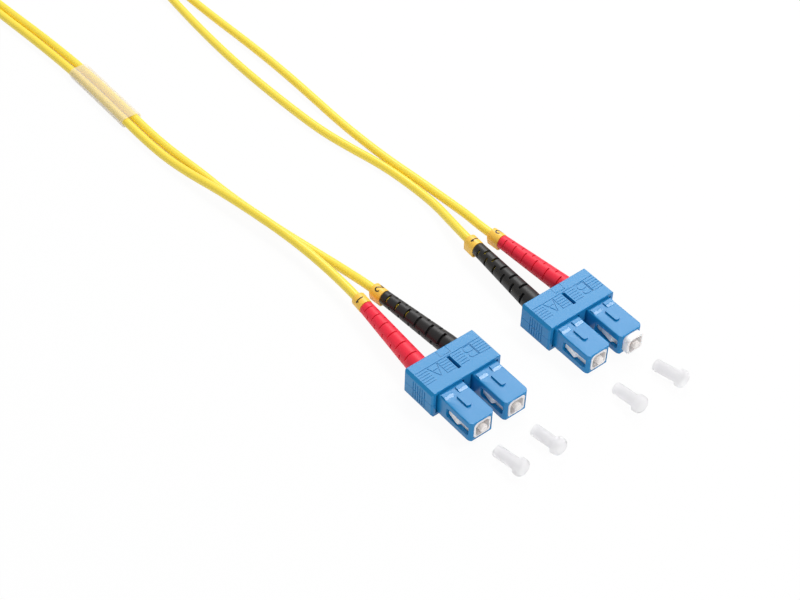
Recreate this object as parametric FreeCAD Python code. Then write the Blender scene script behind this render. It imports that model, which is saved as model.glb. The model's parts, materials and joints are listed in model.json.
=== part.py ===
import FreeCAD
import Part
import math
import os

from FreeCAD import Placement, Rotation, Vector

# Duplex fibre optic patch cable with push-pull plugs at both ends, in millimetres.
# The ferrules point to -Y, the cords leave to +Y, and everything lies on the floor at Z = 0.
# Each end is drawn in its own frame first: X across the pair, Y = 0 at the clip's front face.

# Layout on the floor
END_SPACING = 43.2
LEFT_FRONT_Y = -3.2
RIGHT_FRONT_Y = -4.6
PLUG_PITCH = 12.7

# Duplex clip
CLIP_END_T = 2.05
CLIP_ROOF_T = 1.08
CLIP_BACK_T = 3.88
CLIP_REAR_CHAMFER = 0.35
CLIP_FRONT_CHAMFER = 0.5
CLIP_END_CHAMFER_W = 0.8
CLIP_END_CHAMFER_H = 0.95
CLIP_EDGE_R = 0.25
CLIP_RECESS_D = 0.8
CLIP_RECESS_GAP = 0.5
CLIP_GAP = 0.12
PARTING_W = 0.14
PARTING_D = 0.1
SLOT_W = 1.1
SLOT_L = 5.4
SLOT_FROM = 3.4
SLOT_FLOOR = 1.5
TAB_W = 3.5
TAB_D = 2.7
TAB_GAP = 0.1
BEAD_PROUD = 0.25
BEAD_H = 0.6
BEAD_DROP = 1.2
PEG_D = 1.2
PEG_L = 1.6
PEG_FROM = 1.7
PEG_GAP = 0.1
GRIP_COUNT = 6
GRIP_PITCH = 1.0
GRIP_W = 0.35
GRIP_D = 0.15
GRIP_FROM = 3.4
GRIP_MARGIN = 0.7
RIB_COUNT = 5
RIB_PITCH = 1.0
RIB_W = 0.28
RIB_D = 0.12
RIB_FROM = 3.95
RIB_EDGE = 0.1
RIB_OUTER_L = 3.7
RIB_INNER_FROM = 0.9
RIB_INNER_L = 3.1
RULE_Y = 9.0
RULE_W = 0.28
RULE_D = 0.14
RULE_EDGE = 0.3
FRAME_LINES = (-4.1, 8.05)
MARK_Y = 6.4
MARK_LINE = 0.3
MARK_D = 0.14
MARK_A_X = -6.1
MARK_B_X = 6.4

# Outer housing
HOUSING_SIDE_T = 1.3
HOUSING_ROOF_T = 0.5
HOUSING_REACH = 14.3
HOUSING_TAIL = 8.6
HOUSING_EDGE_R = 0.4
NOSE_R = 2.6
NOSE_L = 2.1
NOSE_EDGE_R = 0.35
SHOULDER_RISE = 0.42
SHOULDER_BACK = 0.85
SHOULDER_FROM = 2.1
SHOULDER_RAMP = 1.0
SHOULDER_INSET = 0.4
SHOULDER_SPLIT = 1.9
KEY_W = 1.8
KEY_L = 4.7
KEY_FROM = 3.9
KEY_RISE = 0.6
KEY_CORNER_R = 0.7
WINDOW_FROM = 3.8
WINDOW_TO = 13.2
WINDOW_H = 3.4
WINDOW_CORNER_R = 0.5
GROOVE_FROM = 3.6
GROOVE_W = 1.7
GROOVE_D = 0.5
CLIP_RIB_SIDE_GAP = 0.15

# Plug frame that slides in the outer housing
FRAME_W = 6.2
FRAME_TAIL = 4.0
FRAME_CORNER_R = 1.5
FRAME_NOSE_R = 0.3
SLIDE_GAP = 0.1
MOUTH_WALL = 0.7
MOUTH_R = 1.3
MOUTH_LEAD_L = 0.5
MOUTH_LEAD_W = 0.35
PARTITION_T = 0.8
PARTITION_GAP = 0.1
PARTITION_HOLE_SHARE = 0.7375
BORE_WALL = 0.65
BUMP_END_GAP = 0.2
BUMP_SIDE_GAP = 0.55
BUMP_STEP = 0.5
BUMP_RISE = 1.2
BUMP_RAMP_L = 4.0
BUMP_CREST_L = 0.6
BUMP_FALL = 0.7
CATCH_W = 2.2
CATCH_L = 1.6
CATCH_FROM = 1.4
CATCH_GAP = 0.2
CORE_TRAVEL = 2.0

# Ferrule, its flange, spring and fibre
FERRULE_D = 2.5
FERRULE_PROUD = 1.0
FERRULE_FREE_L = 7.8
FERRULE_CHAMFER_L = 0.3
FERRULE_CHAMFER_R = 0.35
SHANK_STEP = 0.2
SHANK_L = 2.4
FLANGE_GAP = 0.25
FLANGE_L = 2.5
FLANGE_TAIL_D = 3.0
FLANGE_TAIL_L = 4.0
FLANGE_BORE_D = 1.2
FERRULE_TRAVEL = 1.5
FIBRE_D = 0.9
FIBRE_L = 14.0
SPRING_SEAT_L = 5.2
SPRING_WIRE_D = 0.45
SPRING_TURNS = 4
SPRING_GAP = 0.05

# Stop body and crimp sleeve
STOP_GAP = 0.05
STOP_RECESS_GAP = 0.25
STOP_RECESS_L = 1.4
STOP_COLLAR_INSET = 0.1
STOP_COLLAR_L = 1.0
STOP_BORE_D = 1.6
POST_D = 3.5
POST_L = 6.6
POST_GROOVES = 5
POST_GROOVE_PITCH = 1.0
POST_GROOVE_D = 0.12
CRIMP_GAP = 0.05
CRIMP_WALL = 0.4
CRIMP_FROM_COLLAR = 0.3
CRIMP_L = 6.8
CRIMP_CONE_L = 0.4
CRIMP_NECK_L = 0.9
CRIMP_CORD_GAP = 0.05

# Boot with staggered flex slots
BOOT_FRONT = 7.6
BOOT_NECK_GAP = 0.25
BOOT_HINGE = 12.0
BOOT_STEP = 0.2
BOOT_END_WALL = 0.5
BOOT_L = 30.2
BOOT_PLAIN_L = 4.0
BOOT_LEAD_IN = 0.8
BOOT_CRIMP_GAP = 0.05
BOOT_CORD_GAP = 0.28
BOOT_CLIP_GAP = 0.4
BOOT_DROP = 0.3
FLEX_LEVELS = 11
FLEX_PITCH = 2.3
FLEX_GROWTH = 0.17
FLEX_END = 2.0
FLEX_W_RED = 0.35
FLEX_W_BLACK = 0.75
FLEX_SLOT_ANGLE = 92.0

# Marker ring on the cord at the boot's thin end
RING_GAP = 0.2
RING_L = 4.3
RING_FIT = 0.32
RING_FOOT_R = 1.3
RING_FOOT_DROP = 2.1
RING_WALL = 0.55

# Dust cap, lying with its head's rim and its open end on the floor
CAP_L = 10.5
CAP_WALL = 0.58
CAP_FIT = 0.02
CAP_RIM = 0.85
CAP_HEAD_L = 2.4
CAP_HEAD_R = 1.1
CAP_BORE_L = 8.6

# Cords, the coil of the stretch that is put away, its tie and the clear sleeve
CORD_D = 2.9
CORD_CLEAR = 0.1
CORD_INSIDE = 1.9
CORD_LEAD = 2.3
COIL_X = -9.6
COIL_Y = 278.8
COIL_MEAN_R = 30.0
COIL_LAYERS = 3
COIL_EDGE_R = 1.2
TIE_T = 0.5
TIE_W = 6.0
TIE_GAP = 0.2
SLEEVE_X = -32.5
SLEEVE_Z = 1.9
SLEEVE_FROM = 156.5
SLEEVE_L = 33.0
SLEEVE_SPREAD = 3.3
SLEEVE_FIT = 0.5
SLEEVE_RISE = 0.2
SLEEVE_WALL = 0.25

# Sizes that follow from the ones above
CAVITY_W = FRAME_W + 2 * SLIDE_GAP
HOUSING_W = CAVITY_W + 2 * HOUSING_SIDE_T
HOUSING_H = CAVITY_W + 2 * HOUSING_ROOF_T
CLIP_W = PLUG_PITCH + HOUSING_W + 2 * CLIP_END_T
CLIP_H = HOUSING_H + 2 * (CLIP_GAP + CLIP_ROOF_T)
CLIP_D = HOUSING_TAIL + CLIP_GAP + CLIP_BACK_T
GRIP_BOTTOM = CLIP_END_CHAMFER_H + GRIP_MARGIN
GRIP_TOP = CLIP_H - GRIP_BOTTOM
MOUTH_W = FRAME_W - 2 * MOUTH_WALL
BORE_D = FRAME_W - 2 * BORE_WALL
BUMP_FROM = WINDOW_FROM + BUMP_END_GAP
BUMP_CREST_FROM = BUMP_FROM + BUMP_RAMP_L
BUMP_H = WINDOW_H - 2 * BUMP_SIDE_GAP
SHANK_D = FERRULE_D - 2 * SHANK_STEP
FLANGE_D = BORE_D - 2 * FLANGE_GAP
SPRING_MEAN_D = (FLANGE_TAIL_D + BORE_D) / 2
STOP_COLLAR_D = FRAME_W - 2 * STOP_COLLAR_INSET
BOOT_NECK_D = CAVITY_W - 2 * BOOT_NECK_GAP
BOOT_D = BOOT_NECK_D + 2 * BOOT_STEP
BOOT_BORE_D = CORD_D + 2 * BOOT_CORD_GAP
BOOT_END_D = BOOT_BORE_D + 2 * BOOT_END_WALL
RING_R = CORD_D / 2 + RING_FIT + RING_WALL
CAP_TUBE_D = FERRULE_D + 2 * (CAP_FIT + CAP_WALL)
CAP_HEAD_D = CAP_TUBE_D + 2 * CAP_RIM
CORD_SPACING = CORD_D + CORD_CLEAR
CORD_EXIT = BOOT_L + RING_GAP + RING_L + CORD_LEAD
SLEEVE_W = SLEEVE_SPREAD + CORD_D + 2 * (SLEEVE_WALL + SLEEVE_FIT)
SLEEVE_H = CORD_D + 2 * (SLEEVE_WALL + SLEEVE_RISE)
AXIS_Z = CLIP_H / 2
FRAME_FRONT = -HOUSING_REACH
TIP = FRAME_FRONT - FERRULE_PROUD
FLANGE_FRONT = TIP + FERRULE_FREE_L
FLANGE_REAR = FLANGE_FRONT + FLANGE_L
STOP_FRONT = FLANGE_REAR + SPRING_SEAT_L
COLLAR_REAR = FRAME_TAIL + STOP_COLLAR_L
CRIMP_FROM = COLLAR_REAR + CRIMP_FROM_COLLAR
CRIMP_END = CRIMP_FROM + CRIMP_L + CRIMP_CONE_L + CRIMP_NECK_L
CRIMP_R = POST_D / 2 + CRIMP_GAP + CRIMP_WALL
AXIS = Vector(0, 1, 0)

# One row for each plug: name, end, side of the clip, how far its frame stands forward,
# how far the boot's thin end leans inwards, the boot's roll about its own axis, its slots' width
# and the marker ring's roll.
PLUGS = (
    ("left_red", "left", -1, 0.0, 2.8, 70.0, FLEX_W_RED, -30.0),
    ("left_black", "left", 1, 0.0, 2.9, 58.0, FLEX_W_BLACK, 20.0),
    ("right_black", "right", -1, 0.0, 2.3, 13.0, FLEX_W_BLACK, 28.0),
    ("right_red", "right", 1, CORE_TRAVEL, 2.4, 43.0, FLEX_W_RED, 18.0),
)

# One row for each dust cap: plug, place of its open end on the floor, heading of its head from -Y.
CAPS = (
    ("left_red", -28.5, -24.5, 5.2),
    ("left_black", -15.2, -25.4, 4.5),
    ("right_black", 13.9, -28.1, 2.5),
    ("right_red", 29.2, -28.7, 9.7),
)

# Route points past the boots, out to the coil.
CORD_ROUTES = {
    "left_red": (
        (-24.2, 58.0, 4.3), (-24.6, 70.5, 4.2), (-25.9, 83.0, 4.2), (-27.9, 95.6, 4.2),
        (-30.1, 108.5, 3.9), (-32.1, 121.0, 2.6), (-33.6, 133.5, 1.7), (-34.2, 147.0, 1.65),
        (-34.0, 166.0, SLEEVE_Z), (-34.3, 188.0, SLEEVE_Z), (-35.4, 210.0, 1.6), (-37.6, 233.0, 1.7),
        (-39.9, 256.5, 2.0), (-41.1, 278.8, 2.2),
    ),
    "left_black": (
        (-19.5, 58.0, 2.4), (-21.4, 70.5, 1.5), (-23.9, 82.6, 1.55), (-26.0, 95.5, 1.5),
        (-27.7, 108.5, 1.5), (-28.6, 121.5, 1.55), (-30.1, 134.5, 1.5), (-30.9, 147.5, 1.65),
        (-30.7, 166.5, SLEEVE_Z), (-30.9, 188.5, SLEEVE_Z), (-32.1, 210.5, 1.6), (-34.5, 233.0, 1.7),
        (-36.8, 256.5, 2.0), (-38.1, 278.8, 2.2),
    ),
    "right_black": (
        (20.0, 53.5, 2.9), (21.9, 64.0, 1.7), (21.6, 76.5, 1.5), (20.2, 89.0, 1.5),
        (17.2, 101.5, 1.55), (14.8, 114.5, 1.5), (13.8, 128.5, 1.5), (13.0, 146.0, 1.55),
        (13.0, 166.0, 1.5), (14.1, 187.0, 1.5), (16.0, 209.0, 1.7), (17.7, 232.0, 3.8),
        (18.7, 256.0, 6.8), (18.9, 278.8, 8.2),
    ),
    "right_red": (
        (26.1, 53.5, 2.7), (25.9, 65.0, 1.6), (24.9, 77.0, 1.5), (23.45, 89.5, 1.5),
        (22.7, 102.5, 1.55), (22.5, 115.5, 1.5), (22.9, 129.0, 1.5), (23.2, 147.0, 1.55),
        (22.8, 167.0, 1.5), (21.6, 188.0, 1.5), (20.9, 210.0, 1.7), (21.2, 233.0, 3.8),
        (21.7, 256.0, 6.8), (21.9, 278.8, 8.2),
    ),
}
# Route stations inside the boot: distance along the boot's axis and the cord's small sag there.
CORD_STATIONS = (
    (CORD_INSIDE, 0.0),
    (0.35 * CORD_EXIT, -0.06),
    (0.675 * CORD_EXIT, 0.03),
    (CORD_EXIT, -0.05),
)


def box(x0, x1, y0, y1, z0, z1):
    return Part.makeBox(x1 - x0, y1 - y0, z1 - z0, Vector(x0, y0, z0))


def prism(points, along):
    """Solid swept straight from a closed outline of points and arcs given as (start, middle, end)."""
    return Part.Face(outline(points)).extrude(along)


def outline(parts):
    """Closed wire through points, where a tuple of three points is an arc."""
    edges = []
    ends = [(part[0], part[2]) if isinstance(part, tuple) else (part, part) for part in parts]
    for n, part in enumerate(parts):
        if isinstance(part, tuple):
            edges.append(Part.Arc(*part).toShape())
        start = ends[n][1]
        stop = ends[(n + 1) % len(parts)][0]
        if start.distanceToPoint(stop) > 1e-7:
            edges.append(Part.makeLine(start, stop))
    return Part.Wire(edges)


def rounded_rect(w, h, r, place):
    """Corner arcs and sides of a rounded rectangle, with place(u, v) giving each point."""
    k = r * (1 - math.sqrt(0.5))
    a = w / 2
    b = h / 2
    corners = (
        ((a, b - r), (a - k, b - k), (a - r, b)),
        ((-a + r, b), (-a + k, b - k), (-a, b - r)),
        ((-a, -b + r), (-a + k, -b + k), (-a + r, -b)),
        ((a - r, -b), (a - k, -b + k), (a, -b + r)),
    )
    return [tuple(place(u, v) for u, v in corner) for corner in corners]


def bar_along_y(w, h, r, y0, y1):
    """Rounded bar of width w (X) and height h (Z) about the Y axis."""
    return prism(rounded_rect(w, h, r, lambda u, v: Vector(u, y0, v)), Vector(0, y1 - y0, 0))


def turned(profile):
    """Solid of revolution about the Y axis from (y, radius) points."""
    points = [Vector(r, y, 0) for y, r in profile]
    face = Part.Face(Part.makePolygon(points + [points[0]]))
    return face.revolve(Vector(0, 0, 0), AXIS, 360)


def rod(d, y0, y1, x=0.0, z=0.0):
    return Part.makeCylinder(d / 2, y1 - y0, Vector(x, y0, z), AXIS)


def moved(shape, x, y, z):
    copy = shape.copy()
    copy.translate(Vector(x, y, z))
    return copy


def fused(first, *others):
    return first.fuse(list(others)).removeSplitter()


def without(shape, *tools):
    return shape.cut(list(tools))


def outer_housing():
    """Sliding outer sleeve: rounded nose, split shoulder ramps, key, side windows, grooves for the clip."""
    half_w = HOUSING_W / 2
    half_h = HOUSING_H / 2
    start = NOSE_L - HOUSING_REACH
    nose_half = half_w - NOSE_R + math.sqrt(NOSE_R**2 - NOSE_L**2)
    mid = math.asin(NOSE_L / NOSE_R) / 2
    mid_x = half_w - NOSE_R + NOSE_R * math.cos(mid)
    mid_y = start - NOSE_R * math.sin(mid)
    tall = Vector(0, 0, 2 * HOUSING_H)
    low = -HOUSING_H
    plan = prism(
        [
            Vector(half_w, HOUSING_TAIL, low),
            (
                Vector(half_w, start, low),
                Vector(mid_x, mid_y, low),
                Vector(nose_half, -HOUSING_REACH, low),
            ),
            (
                Vector(-nose_half, -HOUSING_REACH, low),
                Vector(-mid_x, mid_y, low),
                Vector(-half_w, start, low),
            ),
            Vector(-half_w, HOUSING_TAIL, low),
        ],
        tall,
    )
    length = HOUSING_REACH + HOUSING_TAIL
    middle = (HOUSING_TAIL - HOUSING_REACH) / 2
    side = prism(
        rounded_rect(length, HOUSING_H, NOSE_EDGE_R, lambda u, v: Vector(-HOUSING_W, u + middle, v)),
        Vector(2 * HOUSING_W, 0, 0),
    )
    section = bar_along_y(HOUSING_W, HOUSING_H, HOUSING_EDGE_R, -HOUSING_REACH, HOUSING_TAIL)
    body = plan.common(side).common(section)

    strip_to = half_w - SHOULDER_INSET
    shoulders = [
        shoulder(SHOULDER_SPLIT / 2, strip_to, 1),
        shoulder(-strip_to, -SHOULDER_SPLIT / 2, 1),
        shoulder(-strip_to, strip_to, -1),
    ]
    body = fused(body, key(), *shoulders)
    cavity = bar_along_y(
        CAVITY_W, CAVITY_W, FRAME_CORNER_R + SLIDE_GAP, -2 * HOUSING_REACH, 2 * HOUSING_TAIL
    )
    window_l = WINDOW_TO - WINDOW_FROM
    window_mid = -(WINDOW_TO + WINDOW_FROM) / 2
    windows = prism(
        rounded_rect(
            window_l, WINDOW_H, WINDOW_CORNER_R, lambda u, v: Vector(-HOUSING_W, u + window_mid, v)
        ),
        Vector(2 * HOUSING_W, 0, 0),
    )
    grooves = [
        box(s * half_w - GROOVE_D, s * half_w + GROOVE_D, GROOVE_FROM, GROOVE_FROM + GROOVE_W, low, -low)
        for s in (-1, 1)
    ]
    return without(body, cavity, windows, *grooves)


def shoulder(x0, x1, side):
    """Raised ridge with a ramp in front, just ahead of the clip, on the top (1) or underside (-1)."""
    face = HOUSING_H / 2
    root = face - HOUSING_EDGE_R
    points = [
        Vector(x0, -SHOULDER_FROM - SHOULDER_RAMP, side * root),
        Vector(x0, -SHOULDER_FROM - SHOULDER_RAMP, side * face),
        Vector(x0, -SHOULDER_FROM, side * (face + SHOULDER_RISE)),
        Vector(x0, -SHOULDER_BACK, side * (face + SHOULDER_RISE)),
        Vector(x0, -SHOULDER_BACK, side * root),
    ]
    return prism(points, Vector(x1 - x0, 0, 0))


def key():
    """Polarising key on top, with a rounded front end."""
    face = HOUSING_H / 2
    root = face - HOUSING_EDGE_R
    front = -KEY_FROM - KEY_L
    k = KEY_CORNER_R * (1 - math.sqrt(0.5))
    half = KEY_W / 2
    points = [
        Vector(half, -KEY_FROM, root),
        (
            Vector(half, front + KEY_CORNER_R, root),
            Vector(half - k, front + k, root),
            Vector(half - KEY_CORNER_R, front, root),
        ),
        (
            Vector(-half + KEY_CORNER_R, front, root),
            Vector(-half + k, front + k, root),
            Vector(-half, front + KEY_CORNER_R, root),
        ),
        Vector(-half, -KEY_FROM, root),
    ]
    return prism(points, Vector(0, 0, face + KEY_RISE - root))


def plug_frame():
    """Inner frame: square mouth round the ferrule, partition, spring bore, latch bumps, catch windows."""
    length = FRAME_TAIL - FRAME_FRONT
    middle = (FRAME_TAIL + FRAME_FRONT) / 2
    body = bar_along_y(FRAME_W, FRAME_W, FRAME_CORNER_R, FRAME_FRONT, FRAME_TAIL)
    side = prism(
        rounded_rect(length, FRAME_W, FRAME_NOSE_R, lambda u, v: Vector(-FRAME_W, u + middle, v)),
        Vector(2 * FRAME_W, 0, 0),
    )
    plan = prism(
        rounded_rect(FRAME_W, length, FRAME_NOSE_R, lambda u, v: Vector(u, v + middle, -FRAME_W)),
        Vector(0, 0, 2 * FRAME_W),
    )
    body = fused(body.common(side).common(plan), latch_bump(1), latch_bump(-1))
    wall_rear = FLANGE_FRONT - PARTITION_GAP
    wall_front = wall_rear - PARTITION_T
    mouth = bar_along_y(MOUTH_W, MOUTH_W, MOUTH_R, FRAME_FRONT - 1, wall_front)
    lead = mouth_lead_in()
    hole_d = FERRULE_D + PARTITION_HOLE_SHARE * (FLANGE_D - FERRULE_D)
    hole = rod(hole_d, wall_front - 1, wall_rear + 1)
    bore = rod(BORE_D, wall_rear, FRAME_TAIL + 1)
    catch = box(
        -CATCH_W / 2, CATCH_W / 2, CATCH_FROM, CATCH_FROM + CATCH_L, -FRAME_W, FRAME_W
    )
    return without(body, mouth, lead, hole, bore, catch)


def mouth_lead_in():
    """Flared entry of the mouth, lofted between two rounded squares."""
    wide = MOUTH_W + 2 * MOUTH_LEAD_W
    rings = (
        (wide, MOUTH_R + MOUTH_LEAD_W, FRAME_FRONT),
        (MOUTH_W, MOUTH_R, FRAME_FRONT + MOUTH_LEAD_L),
    )
    wires = [
        outline(rounded_rect(w, w, r, lambda u, v, y=y: Vector(u, y, v))) for w, r, y in rings
    ]
    return Part.makeLoft(wires, True, True)


def latch_bump(side):
    """Ramp that the mating socket's hook rides over, seen through the housing's window."""
    wall = FRAME_W / 2
    z = -BUMP_H / 2
    crest_end = BUMP_CREST_FROM + BUMP_CREST_L
    points = [
        Vector(side * (wall - BUMP_STEP), -BUMP_FROM, z),
        Vector(side * (wall + BUMP_STEP), -BUMP_FROM, z),
        Vector(side * (wall + BUMP_RISE), -BUMP_CREST_FROM, z),
        Vector(side * (wall + BUMP_RISE), -crest_end, z),
        Vector(side * wall, -crest_end - BUMP_FALL, z),
        Vector(side * (wall - BUMP_STEP), -crest_end - BUMP_FALL, z),
    ]
    return prism(points, Vector(0, 0, BUMP_H))


def ferrule():
    r = FERRULE_D / 2
    return turned(
        [
            (TIP, 0),
            (TIP, r - FERRULE_CHAMFER_R),
            (TIP + FERRULE_CHAMFER_L, r),
            (FLANGE_FRONT, r),
            (FLANGE_FRONT, SHANK_D / 2),
            (FLANGE_FRONT + SHANK_L, SHANK_D / 2),
            (FLANGE_FRONT + SHANK_L, 0),
        ]
    )


def ferrule_flange():
    """Metal holder: cup for the ferrule's shank, spring seat, and the tail that guides the spring."""
    shank_end = FLANGE_FRONT + SHANK_L
    return turned(
        [
            (FLANGE_FRONT, SHANK_D / 2),
            (FLANGE_FRONT, FLANGE_D / 2),
            (FLANGE_REAR, FLANGE_D / 2),
            (FLANGE_REAR, FLANGE_TAIL_D / 2),
            (FLANGE_REAR + FLANGE_TAIL_L, FLANGE_TAIL_D / 2),
            (FLANGE_REAR + FLANGE_TAIL_L, FLANGE_BORE_D / 2),
            (shank_end, FLANGE_BORE_D / 2),
            (shank_end, SHANK_D / 2),
        ]
    )


def ferrule_spring():
    """Spring between the flange and the stop body, wound from half turns that meet squarely."""
    inset = SPRING_WIRE_D / 2 + SPRING_GAP
    r = SPRING_MEAN_D / 2
    rise = (SPRING_SEAT_L - 2 * inset) / (2 * SPRING_TURNS)
    halves = []
    for n in range(2 * SPRING_TURNS):
        side = 1 if n % 2 == 0 else -1
        y = FLANGE_REAR + inset + n * rise
        start = Vector(side * r, y, 0)
        end = Vector(-side * r, y + rise, 0)
        normal = (end - start).cross(Vector(0, 0, side))
        section = Part.Face(Part.Wire(Part.makeCircle(SPRING_WIRE_D / 2, start, Vector(0, 0, 1))))
        halves.append(section.revolve((start + end) * 0.5, normal, -180))
    return halves[0].fuse(halves[1:])


def buffered_fibre():
    start = FLANGE_FRONT + SHANK_L
    return rod(FIBRE_D, start, start + FIBRE_L)


def stop_body():
    """Metal stop behind the spring, snapped into the frame, with a grooved post for the crimp."""
    spigot_r = BORE_D / 2 - STOP_GAP
    recess_r = FLANGE_TAIL_D / 2 + STOP_RECESS_GAP
    post_end = COLLAR_REAR + POST_L
    body = turned(
        [
            (STOP_FRONT, recess_r),
            (STOP_FRONT, spigot_r),
            (FRAME_TAIL, spigot_r),
            (FRAME_TAIL, STOP_COLLAR_D / 2),
            (COLLAR_REAR, STOP_COLLAR_D / 2),
            (COLLAR_REAR, POST_D / 2),
            (post_end, POST_D / 2),
            (post_end, STOP_BORE_D / 2),
            (STOP_FRONT + STOP_RECESS_L, STOP_BORE_D / 2),
            (STOP_FRONT + STOP_RECESS_L, recess_r),
        ]
    )
    barb_half = CATCH_W / 2 - CATCH_GAP
    barb_out = FRAME_W / 2 - CATCH_GAP
    barbs = box(
        -barb_half, barb_half, CATCH_FROM + CATCH_GAP, CATCH_FROM + CATCH_L - CATCH_GAP,
        -barb_out, barb_out,
    ).cut(rod(2 * recess_r, CATCH_FROM, CATCH_FROM + CATCH_L))
    grooves = []
    for n in range(POST_GROOVES):
        y = post_end - (n + 1) * POST_GROOVE_PITCH
        ring = rod(POST_D + 1, y, y + POST_GROOVE_PITCH / 2)
        grooves.append(ring.cut(rod(POST_D - 2 * POST_GROOVE_D, y, y + POST_GROOVE_PITCH / 2)))
    return without(fused(body, barbs), *grooves)


def crimp_sleeve():
    """Stepped sleeve crimped round the post and the cord's jacket."""
    barrel = POST_D / 2 + CRIMP_GAP
    neck = CORD_D / 2 + CRIMP_CORD_GAP
    barrel_end = CRIMP_FROM + CRIMP_L
    neck_from = barrel_end + CRIMP_CONE_L
    return turned(
        [
            (CRIMP_FROM, barrel),
            (CRIMP_FROM, barrel + CRIMP_WALL),
            (barrel_end, barrel + CRIMP_WALL),
            (neck_from, neck + CRIMP_WALL),
            (CRIMP_END, neck + CRIMP_WALL),
            (CRIMP_END, neck),
            (neck_from, neck),
            (barrel_end, barrel),
        ]
    )


def boot_placement(lean):
    """Where the boot's slotted tail points: hinged behind the crimp, leaning in X and dropping."""
    reach = Vector(lean, math.sqrt(BOOT_L**2 - lean**2 - BOOT_DROP**2), -BOOT_DROP)
    return Placement(Vector(0, BOOT_HINGE, 0), Rotation(AXIS, reach))


def boot(lean, roll, slot_w):
    """Strain relief: neck over the crimp sleeve, then a tapering tail with slots turned level by level."""
    cavity_d = 2 * (CRIMP_R + BOOT_CRIMP_GAP)
    neck = rod(BOOT_NECK_D, BOOT_FRONT, BOOT_HINGE + BOOT_LEAD_IN)
    tail = turned(
        [
            (-BOOT_LEAD_IN, 0),
            (-BOOT_LEAD_IN, BOOT_D / 2),
            (BOOT_PLAIN_L, BOOT_D / 2),
            (BOOT_L, BOOT_END_D / 2),
            (BOOT_L, 0),
        ]
    )
    tail = without(tail, *flex_slots(slot_w))
    tail.rotate(Vector(0, 0, 0), AXIS, roll)
    bore = rod(BOOT_BORE_D, -BOOT_LEAD_IN, BOOT_L + 1)
    place = boot_placement(lean)
    tail.Placement = place.multiply(tail.Placement)
    bore.Placement = place.multiply(bore.Placement)
    cavity = rod(cavity_d, BOOT_FRONT - 1, CRIMP_END + 2 * RING_GAP)
    return without(fused(tail, neck), bore, cavity)


def flex_slots(slot_w):
    """Pairs of opposite slots, each level a quarter turn from the last and wider towards the plug."""
    slots = []
    core = rod(BOOT_BORE_D / 2, -1, slot_w * 2)
    for n in range(FLEX_LEVELS):
        share = n / FLEX_LEVELS
        w = slot_w * (1 - FLEX_GROWTH + 2 * FLEX_GROWTH * share)
        y = BOOT_L - FLEX_END - n * FLEX_PITCH * (1 - FLEX_GROWTH + FLEX_GROWTH * share)
        for half_turn in (0, 180):
            cut = Part.makeCylinder(BOOT_D, w, Vector(0, 0, 0), Vector(0, 0, 1), FLEX_SLOT_ANGLE)
            cut.rotate(Vector(0, 0, 0), Vector(1, 0, 0), -90)
            cut = cut.cut(core)
            cut.rotate(Vector(0, 0, 0), AXIS, half_turn + 90 * (n % 2) - FLEX_SLOT_ANGLE / 2)
            cut.translate(Vector(0, y - w, 0))
            slots.append(cut)
    return slots


def marker_ring(lean, roll):
    """Soft egg-shaped marker hanging on the cord just behind the boot."""
    start = BOOT_L + RING_GAP
    ring = egg(RING_R, RING_FOOT_R, start).cut(egg(RING_R - RING_WALL, RING_FOOT_R - RING_WALL, start))
    ring.rotate(Vector(0, 0, 0), AXIS, roll)
    ring.Placement = boot_placement(lean).multiply(ring.Placement)
    return ring


def egg(r, foot_r, start):
    """Bar whose section is a large arc over a small one, joined by tangent sides."""
    slope = math.asin((r - foot_r) / RING_FOOT_DROP)
    c = math.cos(slope)
    s = math.sin(slope)

    def point(u, v):
        return Vector(u, start, v)

    top = (point(r * c, -r * s), point(0, r), point(-r * c, -r * s))
    low = -RING_FOOT_DROP
    foot = (
        point(-foot_r * c, low - foot_r * s),
        point(0, low - foot_r),
        point(foot_r * c, low - foot_r * s),
    )
    return prism([top, foot], Vector(0, RING_L, 0))


def clip_plan(inset):
    """Clip's outline from above, chamfered at its corners, as a prism of full height."""
    half = CLIP_W / 2 - inset
    front = inset
    rear = CLIP_D - inset
    shrink = inset * (2 - math.sqrt(2))
    nose = CLIP_FRONT_CHAMFER - shrink
    tail = CLIP_REAR_CHAMFER - shrink
    corners = (
        (half - nose, front), (half, front + nose), (half, rear - tail), (half - tail, rear),
        (-half + tail, rear), (-half, rear - tail), (-half, front + nose), (-half + nose, front),
    )
    return prism([Vector(x, y, 0) for x, y in corners], Vector(0, 0, CLIP_H))


def clip_section():
    """Clip's outline from the front: both ends are chamfered above and below, as a prism of full depth."""
    half = CLIP_W / 2
    top_half = half - CLIP_END_CHAMFER_W
    low = CLIP_END_CHAMFER_H
    high = CLIP_H - CLIP_END_CHAMFER_H
    corners = (
        (top_half, 0), (half, low), (half, high), (top_half, CLIP_H),
        (-top_half, CLIP_H), (-half, high), (-half, low), (-top_half, 0),
    )
    return prism([Vector(x, 0, z) for x, z in corners], Vector(0, CLIP_D, 0))


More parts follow.
